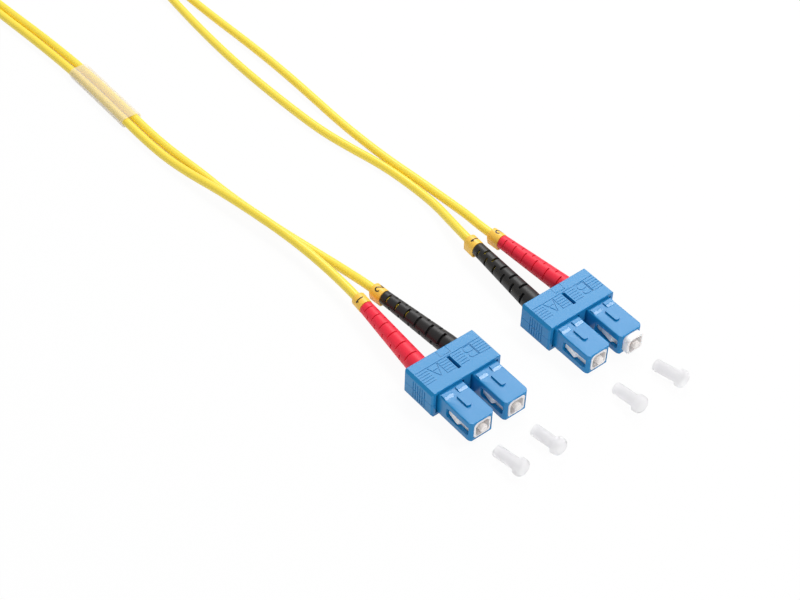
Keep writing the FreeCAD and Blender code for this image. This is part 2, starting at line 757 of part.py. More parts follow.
def clip_block():
    """Whole clip before it is split: rounded block with pockets, ribs, boot holes and grips."""
    side = prism(
        rounded_rect(CLIP_D, CLIP_H, CLIP_EDGE_R, lambda u, v: Vector(-CLIP_W, u + CLIP_D / 2, v + AXIS_Z)),
        Vector(2 * CLIP_W, 0, 0),
    )
    block = clip_plan(0).common(side).common(clip_section())

    cuts = []
    ribs = []
    pocket_half = HOUSING_W / 2 + CLIP_GAP
    pocket_rise = HOUSING_H / 2 + CLIP_GAP
    for s in (-1, 1):
        x = s * PLUG_PITCH / 2
        cuts.append(
            box(x - pocket_half, x + pocket_half, -1, HOUSING_TAIL + CLIP_GAP,
                AXIS_Z - pocket_rise, AXIS_Z + pocket_rise)
        )
        wide = pocket_half + CLIP_RECESS_GAP
        cuts.append(
            box(x - wide, x + wide, -1, CLIP_RECESS_D,
                AXIS_Z - pocket_rise, AXIS_Z + pocket_rise)
        )
        cuts.append(rod(BOOT_D + 2 * BOOT_CLIP_GAP, HOUSING_TAIL, CLIP_D + 1, x, AXIS_Z))
        for side_of in (-1, 1):
            wall = x + side_of * (pocket_half + CLIP_GAP)
            inner = x + side_of * (HOUSING_W / 2 - GROOVE_D + CLIP_GAP)
            ribs.append(
                box(min(wall, inner), max(wall, inner), GROOVE_FROM + CLIP_RIB_SIDE_GAP,
                    GROOVE_FROM + GROOVE_W - CLIP_RIB_SIDE_GAP, AXIS_Z - pocket_rise - CLIP_GAP,
                    AXIS_Z + pocket_rise + CLIP_GAP)
            )
    cuts.append(box(-SLOT_W / 2, SLOT_W / 2, SLOT_FROM, SLOT_FROM + SLOT_L, SLOT_FLOOR, CLIP_H + 1))
    block = without(block, *cuts)
    block = fused(block, *ribs)
    return without(block, *grip_grooves(), *top_grooves(), *mark_grooves(), parting_groove())


def grip_grooves():
    """Vertical finger grooves on both end faces."""
    grooves = []
    for s in (-1, 1):
        face = s * CLIP_W / 2
        for n in range(GRIP_COUNT):
            y = GRIP_FROM + n * GRIP_PITCH
            grooves.append(
                box(face - GRIP_D, face + GRIP_D, y - GRIP_W / 2, y + GRIP_W / 2, GRIP_BOTTOM, GRIP_TOP)
            )
    return grooves


def top_grooves():
    """Fine ribbing on the top face, the rule behind it and the lines that frame the two marks."""
    grooves = []
    outer = CLIP_W / 2 - CLIP_END_CHAMFER_W - RIB_EDGE
    inner = RIB_INNER_FROM + RIB_INNER_L
    spans = ((outer - RIB_OUTER_L, outer), (RIB_INNER_FROM, inner))
    for x0, x1 in spans + tuple((-x1, -x0) for x0, x1 in spans):
        for n in range(RIB_COUNT):
            y = RIB_FROM + n * RIB_PITCH
            grooves.append(box(x0, x1, y - RIB_W / 2, y + RIB_W / 2, CLIP_H - RIB_D, CLIP_H + 1))
    edge = outer - RULE_EDGE
    grooves.append(box(-edge, edge, RULE_Y - RULE_W / 2, RULE_Y + RULE_W / 2, CLIP_H - RULE_D, CLIP_H + 1))
    for x in FRAME_LINES:
        grooves.append(
            box(x - RULE_W / 2, x + RULE_W / 2, RIB_FROM, RULE_Y, CLIP_H - RULE_D, CLIP_H + 1)
        )
    return grooves


def stroke(x, y, u0, v0, u1, v1):
    """Groove tool for one straight stroke of a mark, which reads from the cords' side."""
    bar = box(0, math.hypot(u1 - u0, v1 - v0), -MARK_LINE / 2, MARK_LINE / 2, 0, 1)
    bar.rotate(Vector(0, 0, 0), Vector(0, 0, 1), 180 + math.degrees(math.atan2(v1 - v0, u1 - u0)))
    bar.translate(Vector(x - u0, y - v0, CLIP_H - MARK_D))
    return bar


def bowl(x, y, u, v, r):
    """Groove tool for the half-round stroke of a mark."""
    tool = Part.makeCylinder(r + MARK_LINE / 2, 1, Vector(0, 0, 0), Vector(0, 0, 1), 180)
    tool = tool.cut(Part.makeCylinder(r - MARK_LINE / 2, 3, Vector(0, 0, -1)))
    tool.rotate(Vector(0, 0, 0), Vector(0, 0, 1), 90)
    tool.translate(Vector(x - u, y - v, CLIP_H - MARK_D))
    return tool


def mark_grooves():
    """Plain letters A and B that tell the two plugs apart."""
    a = [
        stroke(MARK_A_X, MARK_Y, -1.75, -2.25, 0, 2.25),
        stroke(MARK_A_X, MARK_Y, 1.75, -2.25, 0, 2.25),
        stroke(MARK_A_X, MARK_Y, -1.1, -0.6, 1.1, -0.6),
    ]
    b = [
        stroke(MARK_B_X, MARK_Y, -1.3, -2.4, -1.3, 2.4),
        stroke(MARK_B_X, MARK_Y, -1.3, 2.25, 0.3, 2.25),
        stroke(MARK_B_X, MARK_Y, -1.3, 0.1, 0.45, 0.1),
        stroke(MARK_B_X, MARK_Y, -1.3, -2.25, 0.45, -2.25),
        bowl(MARK_B_X, MARK_Y, 0.3, 1.175, 1.075),
        bowl(MARK_B_X, MARK_Y, 0.45, -1.075, 1.175),
    ]
    return a + b


def parting_groove():
    """Shallow groove all round where the two halves meet."""
    band = box(-CLIP_W, CLIP_W, -1, CLIP_D + 1, AXIS_Z - PARTING_W / 2, AXIS_Z + PARTING_W / 2)
    return band.cut(clip_plan(PARTING_D))


def clip_halves():
    """Upper and lower half, held by a rear snap tab and located by a peg."""
    block = clip_block()
    upper = block.common(box(-CLIP_W, CLIP_W, -1, CLIP_D + 1, AXIS_Z, CLIP_H + 1))
    lower = block.common(box(-CLIP_W, CLIP_W, -1, CLIP_D + 1, -1, AXIS_Z))
    tab_front = CLIP_D - TAB_D
    half = TAB_W / 2
    bead_low = CLIP_H - BEAD_DROP - BEAD_H
    room = TAB_GAP
    notch = box(-half - room, half + room, tab_front - room, CLIP_D + 1, AXIS_Z - 1, CLIP_H + 1)
    bead_room = box(
        -half - room, half + room, tab_front - BEAD_PROUD - 2 * room, CLIP_D,
        bead_low - room, bead_low + BEAD_H + room,
    )
    peg_room = Part.makeCylinder(PEG_D / 2 + PEG_GAP, PEG_L + PEG_GAP, Vector(0, PEG_FROM, AXIS_Z))
    block_top = box(-half, half, tab_front, CLIP_D, AXIS_Z - 1, CLIP_H).common(block)
    bead = box(-half, half, tab_front - BEAD_PROUD, tab_front, bead_low, bead_low + BEAD_H)
    peg = Part.makeCylinder(PEG_D / 2, PEG_L, Vector(0, PEG_FROM, AXIS_Z))
    upper = without(upper, notch, bead_room, peg_room)
    lower = fused(lower, block_top, bead, peg)
    return upper, lower


def dust_cap():
    """Moulded cap: tube that fits the ferrule, solid rounded head, axis along -Y from its open end."""
    bore_r = FERRULE_D / 2 + CAP_FIT
    tube_r = CAP_TUBE_D / 2
    head_r = CAP_HEAD_D / 2
    head = CAP_L - CAP_HEAD_L
    profile = [
        Vector(bore_r, 0, 0),
        Vector(tube_r, 0, 0),
        Vector(tube_r, -head, 0),
        Vector(head_r, -head, 0),
        (
            Vector(head_r, -CAP_L + CAP_HEAD_R, 0),
            Vector(head_r - CAP_HEAD_R * (1 - math.sqrt(0.5)), -CAP_L + CAP_HEAD_R * (1 - math.sqrt(0.5)), 0),
            Vector(head_r - CAP_HEAD_R, -CAP_L, 0),
        ),
        Vector(0, -CAP_L, 0),
        Vector(0, -CAP_BORE_L, 0),
        Vector(bore_r, -CAP_BORE_L, 0),
    ]
    return Part.Face(outline(profile)).revolve(Vector(0, 0, 0), AXIS, 360)


def lying_cap(x, y, heading):
    """The cap tipped until its open end and its head's inner rim both touch the floor."""
    cap = dust_cap()
    tilt = math.atan2((CAP_HEAD_D - CAP_TUBE_D) / 2, CAP_L - CAP_HEAD_L)
    cap.rotate(Vector(0, 0, 0), Vector(1, 0, 0), -math.degrees(tilt))
    cap.rotate(Vector(0, 0, 0), Vector(0, 0, 1), heading)
    cap.translate(Vector(x, y, CAP_TUBE_D / 2 * math.cos(tilt)))
    return cap


def cord_path(name, points):
    """Straight runs joined by the largest tangent arcs that fit, with their radii printed."""
    vectors = [Vector(*p) for p in points]
    edges = []
    radii = []
    last = vectors[0]
    for before, corner, after in zip(vectors, vectors[1:], vectors[2:]):
        back = before - corner
        ahead = after - corner
        turn = math.pi - back.getAngle(ahead)
        setback = 0.45 * min(back.Length, ahead.Length)
        back.normalize()
        ahead.normalize()
        start = corner + back * setback
        end = corner + ahead * setback
        radius = setback / math.tan(turn / 2)
        bisector = back + ahead
        bisector.normalize()
        middle = corner + bisector * (radius / math.cos(turn / 2) - radius)
        edges.append(Part.LineSegment(last, start).toShape())
        edges.append(Part.Arc(start, middle, end).toShape())
        radii.append(radius)
        last = end
    edges.append(Part.LineSegment(last, vectors[-1]).toShape())
    path = Part.Wire(edges)
    print(name, "arc radii", " ".join(f"{r:.0f}" for r in radii), "length", f"{path.Length:.1f}")
    return path


def cord(name, points):
    path = cord_path(name, points)
    heading = Vector(*points[1]) - Vector(*points[0])
    section = Part.Wire(Part.makeCircle(CORD_D / 2, Vector(*points[0]), heading))
    tube = path.makePipeShell([section], True, False)
    share = tube.Volume / (math.pi * CORD_D**2 / 4 * path.Length)
    print(name, "volume over section times length", f"{share:.4f}")
    return tube


def coil_base():
    return TIE_T + TIE_GAP


def coil_section(grow):
    """Width and height of the coil's section, grown on every side."""
    width = CORD_SPACING + CORD_D + 2 * grow
    height = (COIL_LAYERS - 1) * CORD_SPACING + CORD_D + 2 * grow
    return width, height


def cord_coil():
    """Outer shape of the put-away turns of both cords."""
    width, height = coil_section(0)
    mid_z = coil_base() + height / 2
    face = Part.Face(
        outline(rounded_rect(width, height, COIL_EDGE_R, lambda u, v: Vector(COIL_MEAN_R + u, 0, v + mid_z)))
    )
    ring = face.revolve(Vector(0, 0, 0), Vector(0, 0, 1), 360)
    return moved(ring, COIL_X, COIL_Y, 0)


def coil_tie():
    """Strap round the coil at its far side."""
    inner_w, inner_h = coil_section(TIE_GAP)
    mid_z = coil_base() + coil_section(0)[1] / 2
    half = TIE_W / 2

    def loop(grow):
        return prism(
            rounded_rect(
                inner_w + 2 * grow, inner_h + 2 * grow, COIL_EDGE_R + grow,
                lambda u, v: Vector(-half, COIL_MEAN_R + u, v + mid_z),
            ),
            Vector(TIE_W, 0, 0),
        )

    return moved(loop(TIE_T).cut(loop(0)), COIL_X, COIL_Y, 0)


def clear_sleeve():
    """Film sleeve that keeps the two cords together."""

    def film(shrink):
        w = SLEEVE_W - 2 * shrink
        h = SLEEVE_H - 2 * shrink
        return prism(
            rounded_rect(w, h, 0.999 * h / 2, lambda u, v: Vector(SLEEVE_X + u, SLEEVE_FROM, v + SLEEVE_Z)),
            Vector(0, SLEEVE_L, 0),
        )

    return film(0).cut(film(SLEEVE_WALL))


def export(node, shape):
    solids = shape.Solids
    solid = solids[0] if len(solids) == 1 else Part.makeCompound(solids)
    assert solid.isValid(), node
    solid.exportStep(f"parts/{node}.step")


def main():
    os.makedirs("parts", exist_ok=True)
    ends = {"left": (-END_SPACING / 2, LEFT_FRONT_Y), "right": (END_SPACING / 2, RIGHT_FRONT_Y)}
    upper, lower = clip_halves()
    for end, (x, y) in ends.items():
        export(f"{end}_clip_upper", moved(upper, x, y, 0))
        export(f"{end}_clip_lower", moved(lower, x, y, 0))
    housing = outer_housing()
    core = {
        "plug_frame": plug_frame(),
        "ferrule": ferrule(),
        "ferrule_flange": ferrule_flange(),
        "ferrule_spring": ferrule_spring(),
        "stop_body": stop_body(),
        "crimp_sleeve": crimp_sleeve(),
        "buffered_fibre": buffered_fibre(),
    }
    for name, end, side, forward, lean_in, roll, slot_w, ring_roll in PLUGS:
        x = ends[end][0] + side * PLUG_PITCH / 2
        y = ends[end][1]
        lean = -side * lean_in
        export(f"{name}_outer_housing", moved(housing, x, y, AXIS_Z))
        for piece, shape in core.items():
            export(f"{name}_{piece}", moved(shape, x, y - forward, AXIS_Z))
        export(f"{name}_boot", moved(boot(lean, roll, slot_w), x, y - forward, AXIS_Z))
        export(f"{name}_marker_ring", moved(marker_ring(lean, ring_roll), x, y - forward, AXIS_Z))
        place = boot_placement(lean)
        inside = []
        for station, sag in CORD_STATIONS:
            p = place.multVec(Vector(0, station + forward, 0))
            inside.append((x + p.x, y - forward + p.y, AXIS_Z + p.z + sag))
        export(f"{name}_cord", cord(f"{name}_cord", inside + list(CORD_ROUTES[name])))
        print(name, "route inside the boot", [tuple(round(c, 2) for c in p) for p in inside])
    for name, x, y, heading in CAPS:
        export(f"{name}_dust_cap", lying_cap(x, y, heading))
    export("cord_coil", cord_coil())
    export("coil_tie", coil_tie())
    export("clear_sleeve", clear_sleeve())


main()
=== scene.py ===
import bmesh
import bpy
import json
import math
from collections import namedtuple
from functools import partial
from mathutils import Matrix, Vector

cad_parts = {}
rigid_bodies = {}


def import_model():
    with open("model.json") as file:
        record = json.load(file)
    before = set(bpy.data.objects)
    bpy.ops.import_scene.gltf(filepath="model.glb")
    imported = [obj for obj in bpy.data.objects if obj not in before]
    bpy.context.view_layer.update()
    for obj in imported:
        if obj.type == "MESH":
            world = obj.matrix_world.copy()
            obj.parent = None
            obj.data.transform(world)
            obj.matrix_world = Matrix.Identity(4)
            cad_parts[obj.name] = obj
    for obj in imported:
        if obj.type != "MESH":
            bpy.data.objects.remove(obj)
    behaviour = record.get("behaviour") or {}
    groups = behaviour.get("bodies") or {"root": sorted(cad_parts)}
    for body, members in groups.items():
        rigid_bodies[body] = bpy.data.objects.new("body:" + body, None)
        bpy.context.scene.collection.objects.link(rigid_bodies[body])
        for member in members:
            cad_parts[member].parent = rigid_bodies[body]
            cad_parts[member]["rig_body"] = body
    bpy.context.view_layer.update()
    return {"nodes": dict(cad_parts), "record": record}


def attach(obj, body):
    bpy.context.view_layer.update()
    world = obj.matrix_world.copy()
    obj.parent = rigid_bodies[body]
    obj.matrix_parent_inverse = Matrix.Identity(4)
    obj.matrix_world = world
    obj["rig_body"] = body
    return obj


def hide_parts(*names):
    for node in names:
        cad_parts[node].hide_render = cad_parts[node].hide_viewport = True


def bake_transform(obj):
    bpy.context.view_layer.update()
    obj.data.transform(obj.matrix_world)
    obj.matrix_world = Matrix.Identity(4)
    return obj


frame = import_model()
nodes = frame["nodes"]
scene = bpy.context.scene
ROOT = "cable_and_housings"
MM = 0.001

# Camera fitted to the photo, in metres and radians.
PHOTO_EYE = (-0.2460, -0.2398, 0.37665)
PHOTO_TARGET = (-0.01238, 0.03859, 0.0)
PHOTO_ROLL = 0.0308
NEAREST_SEEN = 0.01
FARTHEST_SEEN = 20.0

# Its lens and sensor, in millimetres.
PHOTO_LENS = 77.9
PHOTO_SENSOR = 36.0

# Studio: floor size in metres, its whites, and the light from all round.
FLOOR_HALF = 4
FLOOR_ALBEDO = 0.88
FLOOR_SHOWN_WHITE = 0.95
WORLD_STRENGTH = 0.42

# Soft lamps: place, aim and size in metres, power in watts.
SOFTBOXES = {
    "overhead_softbox": ((0.52, -0.21, 0.94), (0.0, 0.0, 0.0), 0.22, 4.4),
    "rear_softbox": ((0.56, 0.56, 0.87), (0.0, 0.02, 0.0), 0.6, 6.4),
    "front_softbox": ((-0.25, -0.95, 0.45), (0.0, 0.0, 0.0), 0.6, 2.0),
    "left_softbox": ((-0.85, -0.05, 0.62), (0.0, 0.02, 0.0), 0.7, 0.55),
}

# Sizes shared with the part, in millimetres, with Y along a plug counted back from its clip's front.
AXIS_Z = 4.9
PLUG_PITCH = 12.7
MOUTH_Y = -14.3

# Cord, and how finely its line and its round are stepped.
CORD_D = 2.9
CORD_LINE_STEPS = 10
CORD_ROUND_STEPS = 6

# Boot: a neck over the crimp, then a tail that tapers and is slotted level by level.
NECK_FROM_Y = 7.6
NECK_TO_Y = 12.8
NECK_R = 2.95
NECK_BORE_R = 2.25
BOOT_HINGE_Y = 12.0
BOOT_L = 30.2
BOOT_DROP = 0.3
BOOT_PLAIN_L = 4.0
BOOT_LEAD_IN = 0.8
BOOT_END_L = 2.0
BOOT_ROOT_R = 3.15
BOOT_END_R = 2.23
BOOT_BORE_R = 1.73
BOOT_SIDES = 48
SLOT_LEVELS = 11
SLOT_PITCH = 2.3
SLOT_PITCH_GROWTH = 0.17
SLOT_WEB_ANGLE = 88
SLOT_W = {"boot_red": 0.35, "boot_black": 0.75}
SLOT_END_SHARE = 0.3
# Painted shade: a liner in the boot's own finish under the deeper slots, its span along the tail and its
# radii, so those slots show dark instead of the cord.
SLOT_SHADE_LINER_FROM = -0.5
SLOT_SHADE_LINER_TO = 19.5
SLOT_SHADE_LINER_R = 2.0
SLOT_SHADE_LINER_BORE_R = 1.74

# Marker ring behind the boot, and the number printed on it.
RING_R = 2.32
RING_GAP = 0.2
RING_L = 4.3
PRINT_RISE = 0.05
STROKE_HALF_W = 0.19
STROKE_STEP = 0.15
NUMBER_ONE = ((-0.5, 0.7), (0.05, 1.4), (0.05, -1.4))
TWO_BOW_R = 0.75
TWO_BOW_MIDDLE = 0.65
TWO_BOW_FROM = 170
TWO_BOW_STEP = 15
TWO_BOW_POINTS = 14
TWO_FOOT = ((-0.75, -1.35), (0.8, -1.35))

# Ferrule and the spring behind its flange.
FERRULE_TIP_Y = -15.3
FERRULE_TIP_R = 0.9
FERRULE_CHAMFER_Y = -15.0
FERRULE_R = 1.25
SHANK_FROM_Y = -7.5
SHANK_TO_Y = -5.1
SHANK_R = 1.05
FERRULE_SIDES = 56
SPRING_FROM_Y = -4.725
SPRING_FRONT_Y = -4.5
SPRING_REAR_Y = -0.3
SPRING_L = 4.65
SPRING_R = 1.975
SPRING_WIRE_R = 0.225
SPRING_TURNS = 4.0
SPRING_POINTS = 145
SPRING_WIRE_SIDES = 16

# Dust cap, from its open end to the top of its head.
CAP_L = 10.5
CAP_TUBE_L = 8.1
CAP_TUBE_R = 1.85
CAP_BORE_L = 8.6
CAP_BORE_R = 1.27
CAP_HEAD_R = 2.7
CAP_DOME_R = 1.1
CAP_DOME_STEPS = 6
CAP_SIDES = 64

# Rim of the frame's mouth: a rounded square of this core and corner, drawn in to this share.
RIM_CORE_HALF = 1.1
RIM_CORNER_R = 1.68
RIM_DEPTH = 0.02
RIM_DRAWN_IN = 0.88

# Coil of the cord that the photo doesn't show.
COIL_CENTRE = (-9.6, 278.8)
COIL_TURNS = 2.5
COIL_BASE_Z = 2.2
COIL_LAYER = 3.0
COIL_POINTS_PER_TURN = 16
COIL_CLIMB_FROM = 0.6
RED_COIL_R = 31.5
BLACK_COIL_R = 28.5

# Rounded edges: least turn in degrees, width, steps, and the shortest edge that may lie beside one.
Ease = namedtuple("Ease", "angle width steps shortest")
EASED = {
    "clip": Ease(20, 0.1, 3, 0.21),
    "housing": Ease(20, 0.08, 2, 0.17),
    "frame": Ease(20, 0.06, 2, 0.13),
    "boot": Ease(50, 0.06, 2, 0.0),
    "ring": Ease(50, 0.16, 4, 0.1),
    "cap": Ease(50, 0.16, 4, 0.0),
    "ferrule": Ease(28, 0.09, 3, 0.0),
}
SLOT_END_STEPS = 3
SLOT_END_DEPTH = 0.1

# Shading: turns in degrees, and the share of a hard edge's turn below which skin counts as curved.
SHADED_SMOOTH_BELOW = 35
CURVED_ABOVE = 0.3
CURVED_BELOW_SHARE = 0.6

# Distances in metres at which points count as one.
CAD_WELD = 0.001 * MM
BOOT_WELD = 0.002 * MM

# Grain of the finishes: how fine its noises are, what part of their range shows, and its height in metres.
DRIFT_SCALE = 120.0
DRIFT_DETAIL = 3.0
GRAIN_SCALE = 4000.0
GRAIN_DETAIL = 2.0
SMOOTH_GRAIN_SCALE = 300.0
GRAIN_FROM = 0.3
GRAIN_TO = 0.7
GRAIN_RELIEF = 0.004 * MM

# Clear film: how soon it hides more towards its edges, and how much it hides face on and edge on.
FILM_BLEND = 0.35
FILM_FACE_ON = 0.1
FILM_EDGE_ON = 0.65

# Sockets of Blender's Mix node in its colour form, and of its Mix Shader node.
MIX_A = 6
MIX_B = 7
MIX_RESULT = 2
UNDER = 1
OVER = 2

# Plugs: clip's centre and front, side, step forward, boot's lean and roll, ring's number and its turn.
Plug = namedtuple("Plug", "clip_x clip_y side forward lean roll number number_turn")
PLUGS = {
    "left_red": Plug(-21.6, -3.2, -1, 0.0, 2.8, 70.0, "1", 25.0),
    "left_black": Plug(-21.6, -3.2, 1, 0.0, 2.9, 58.0, "2", 0.0),
    "right_black": Plug(21.6, -4.6, -1, 0.0, 2.3, 13.0, "1", -5.0),
    "right_red": Plug(21.6, -4.6, 1, 2.0, 2.4, 43.0, "2", -28.0),
}

# Dust caps where they lie: the open end's place on the floor, and the heading in degrees.
CAPS = {
    "left_red": (-28.5, -24.5, 5.2),
    "left_black": (-15.2, -25.4, 4.5),
    "right_black": (13.9, -28.1, 2.5),
    "right_red": (29.2, -28.7, 9.7),
}

# Cord routes from inside each boot out to the coil, the same points as the part's.
LEFT_RED_ROUTE = (
    (-27.77, 10.69, 4.88), (-26.75, 21.69, 4.71), (-25.63, 33.67, 4.68), (-24.52, 45.64, 4.48),
    (-24.2, 58.0, 4.3), (-24.6, 70.5, 4.2), (-25.9, 83.0, 4.2), (-27.9, 95.6, 4.2),
    (-30.1, 108.5, 3.9), (-32.1, 121.0, 2.6), (-33.6, 133.5, 1.7), (-34.2, 147.0, 1.65),
    (-34.0, 166.0, 1.9), (-34.3, 188.0, 1.9), (-35.4, 210.0, 1.6), (-37.6, 233.0, 1.7),
    (-39.9, 256.5, 2.0), (-41.1, 278.8, 2.2),
)
LEFT_BLACK_ROUTE = (
    (-15.43, 10.69, 4.88), (-16.49, 21.69, 4.71), (-17.65, 33.66, 4.68), (-18.8, 45.63, 4.48),
    (-19.5, 58.0, 2.4), (-21.4, 70.5, 1.5), (-23.9, 82.6, 1.55), (-26.0, 95.5, 1.5),
    (-27.7, 108.5, 1.5), (-28.6, 121.5, 1.55), (-30.1, 134.5, 1.5), (-30.9, 147.5, 1.65),
    (-30.7, 166.5, 1.9), (-30.9, 188.5, 1.9), (-32.1, 210.5, 1.6), (-34.5, 233.0, 1.7),
    (-36.8, 256.5, 2.0), (-38.1, 278.8, 2.2),
)
RIGHT_BLACK_ROUTE = (
    (15.39, 9.29, 4.88), (16.24, 20.31, 4.71), (17.15, 32.3, 4.68), (18.07, 44.29, 4.48),
    (20.0, 53.5, 2.9), (21.9, 64.0, 1.7), (21.6, 76.5, 1.5), (20.2, 89.0, 1.5),
    (17.2, 101.5, 1.55), (14.8, 114.5, 1.5), (13.8, 128.5, 1.5), (13.0, 146.0, 1.55),
    (13.0, 166.0, 1.5), (14.1, 187.0, 1.5), (16.0, 209.0, 1.7), (17.7, 232.0, 3.8),
    (18.7, 256.0, 6.8), (18.9, 278.8, 8.2),
)
RIGHT_RED_ROUTE = (
    (27.64, 9.29, 4.86), (26.76, 20.3, 4.69), (25.81, 32.29, 4.66), (24.85, 44.27, 4.46),
    (26.1, 53.5, 2.7), (25.9, 65.0, 1.6), (24.9, 77.0, 1.5), (23.45, 89.5, 1.5),
    (22.7, 102.5, 1.55), (22.5, 115.5, 1.5), (22.9, 129.0, 1.5), (23.2, 147.0, 1.55),
    (22.8, 167.0, 1.5), (21.6, 188.0, 1.5), (20.9, 210.0, 1.7), (21.2, 233.0, 3.8),
    (21.7, 256.0, 6.8), (21.9, 278.8, 8.2),
)


def wired(tree, kind, feeds=(), **settings):
    """New node with its settings made and its inputs linked or set."""
    node = tree.nodes.new(kind)
    for key, value in settings.items():
        setattr(node, key, value)
    for place, feed in dict(feeds).items():
        if isinstance(feed, bpy.types.NodeSocket):
            tree.links.new(feed, node.inputs[place])
        else:
            node.inputs[place].default_value = feed
    return node


def reckon(tree, operation, *terms):
    """Result of a new maths node."""
    return wired(tree, "ShaderNodeMath", enumerate(terms), operation=operation).outputs[0]


def joined(tree, *parts):
    """Several shapes of a tree as one."""
    node = tree.nodes.new("GeometryNodeJoinGeometry")
    for part in parts:
        tree.links.new(part, node.inputs["Geometry"])
    return node.outputs["Geometry"]


def point(tree, x, y, z):
    """Position from its three parts."""
    return wired(tree, "ShaderNodeCombineXYZ", {"X": x, "Y": y, "Z": z}).outputs["Vector"]


def camera_at_photo_angle():
    """Camera fitted to the photo: 46 degrees down, turned a little about its own axis."""
    data = bpy.data.cameras.new("photo_camera")
    data.sensor_width = PHOTO_SENSOR
    data.lens = PHOTO_LENS
    data.clip_start = NEAREST_SEEN
    data.clip_end = FARTHEST_SEEN
    eye = Vector(PHOTO_EYE)
    ahead = (Vector(PHOTO_TARGET) - eye).normalized()
    right = ahead.cross(Vector((0, 0, 1))).normalized()
    up = right.cross(ahead)
    rolled_right = right * math.cos(PHOTO_ROLL) + up * math.sin(PHOTO_ROLL)
    rolled_up = up * math.cos(PHOTO_ROLL) - right * math.sin(PHOTO_ROLL)
    turn = Matrix((rolled_right, rolled_up, -ahead)).transposed().to_4x4()
    cam = bpy.data.objects.new("photo_camera", data)
    cam.matrix_world = Matrix.Translation(eye) @ turn
    scene.collection.objects.link(cam)
    scene.camera = cam


def studio():
    """Pale floor that stays white to the camera, even light from all round and four soft lamps."""
    scene.view_settings.view_transform = "Standard"
    mesh = bpy.data.meshes.new("studio_floor")
    corners = [(x * FLOOR_HALF, y * FLOOR_HALF, 0) for x, y in ((-1, -1), (1, -1), (1, 1), (-1, 1))]
    mesh.from_pydata(corners, [], [(0, 1, 2, 3)])
    floor = bpy.data.objects.new("studio_floor", mesh)
    scene.collection.objects.link(floor)
    floor.data.materials.append(floor_white())
    world = bpy.data.worlds.new("studio_world")
    scene.world = world
    world.use_nodes = True
    background = world.node_tree.nodes["Background"]
    background.inputs["Color"].default_value = (1, 1, 1, 1)
    background.inputs["Strength"].default_value = WORLD_STRENGTH
    for name, (place, aim, size, watts) in SOFTBOXES.items():
        soft_lamp(name, place, aim, size, watts)


def soft_lamp(name, place, aim, size, watts):
    """Square lamp turned towards its aim."""
    data = bpy.data.lights.new(name, "AREA")
    data.shape = "SQUARE"
    data.size = size
    data.energy = watts
    lamp = bpy.data.objects.new(name, data)
    way = Vector(aim) - Vector(place)
    turn = way.to_track_quat("-Z", "Y").to_matrix().to_4x4()
    lamp.matrix_world = Matrix.Translation(Vector(place)) @ turn
    scene.collection.objects.link(lamp)


def floor_white():
    """White to the camera, in reflections and through clear pieces, and plain pale paint to all else."""
    material = bpy.data.materials.new("floor_white")
    material.use_nodes = True
    tree = material.node_tree
    tree.nodes.clear()
    paint = (FLOOR_ALBEDO, FLOOR_ALBEDO, FLOOR_ALBEDO, 1)
    diffuse = wired(tree, "ShaderNodeBsdfDiffuse", {"Color": paint}).outputs["BSDF"]
    glow = wired(tree, "ShaderNodeEmission", {"Strength": 1.0}).outputs["Emission"]
    shown = wired(tree, "ShaderNodeMixShader", {"Fac": FLOOR_SHOWN_WHITE, UNDER: diffuse, OVER: glow})
    path = tree.nodes.new("ShaderNodeLightPath").outputs
    indirect = reckon(tree, "MAXIMUM", path["Is Glossy Ray"], path["Is Transmission Ray"])
    seen = reckon(tree, "MAXIMUM", path["Is Camera Ray"], indirect)
    floor = wired(
        tree, "ShaderNodeMixShader", {"Fac": seen, UNDER: diffuse, OVER: shown.outputs["Shader"]}
    )
    wired(tree, "ShaderNodeOutputMaterial", {"Surface": floor.outputs["Shader"]})
    return material


def moulding_grain():
    """Shared effect: slow colour drift and fine mould texture over the surface."""
    group = bpy.data.node_groups.new("moulding_grain", "ShaderNodeTree")
    for way, kind, labels in (
        ("INPUT", "NodeSocketColor", ("Light Tone", "Dark Tone")),
        ("INPUT", "NodeSocketFloat", ("Grain Scale", "Rough Low", "Rough High")),
        ("OUTPUT", "NodeSocketColor", ("Color",)),
        ("OUTPUT", "NodeSocketFloat", ("Roughness", "Height")),
    ):
        for label in labels:
            group.interface.new_socket(label, in_out=way, socket_type=kind)
    given = group.nodes.new("NodeGroupInput").outputs
    place = group.nodes.new("ShaderNodeTexCoord").outputs["Object"]
    slow = wired(
        group, "ShaderNodeTexNoise", {"Vector": place, "Scale": DRIFT_SCALE, "Detail": DRIFT_DETAIL}
    )
    fine = wired(
        group, "ShaderNodeTexNoise",
        {"Vector": place, "Scale": given["Grain Scale"], "Detail": GRAIN_DETAIL},
    )
    tone = wired(
        group, "ShaderNodeMix",
        {"Factor": slow.outputs["Fac"], MIX_A: given["Dark Tone"], MIX_B: given["Light Tone"]},
        data_type="RGBA",
    )
    rough = wired(
        group, "ShaderNodeMapRange",
        {
            "Value": fine.outputs["Fac"], "From Min": GRAIN_FROM, "From Max": GRAIN_TO,
            "To Min": given["Rough Low"], "To Max": given["Rough High"],
        },
    )
    wired(
        group, "NodeGroupOutput",
        {
            "Color": tone.outputs[MIX_RESULT],
            "Roughness": rough.outputs["Result"],
            "Height": fine.outputs["Fac"],
        },
    )
    return group


GRAIN = moulding_grain()


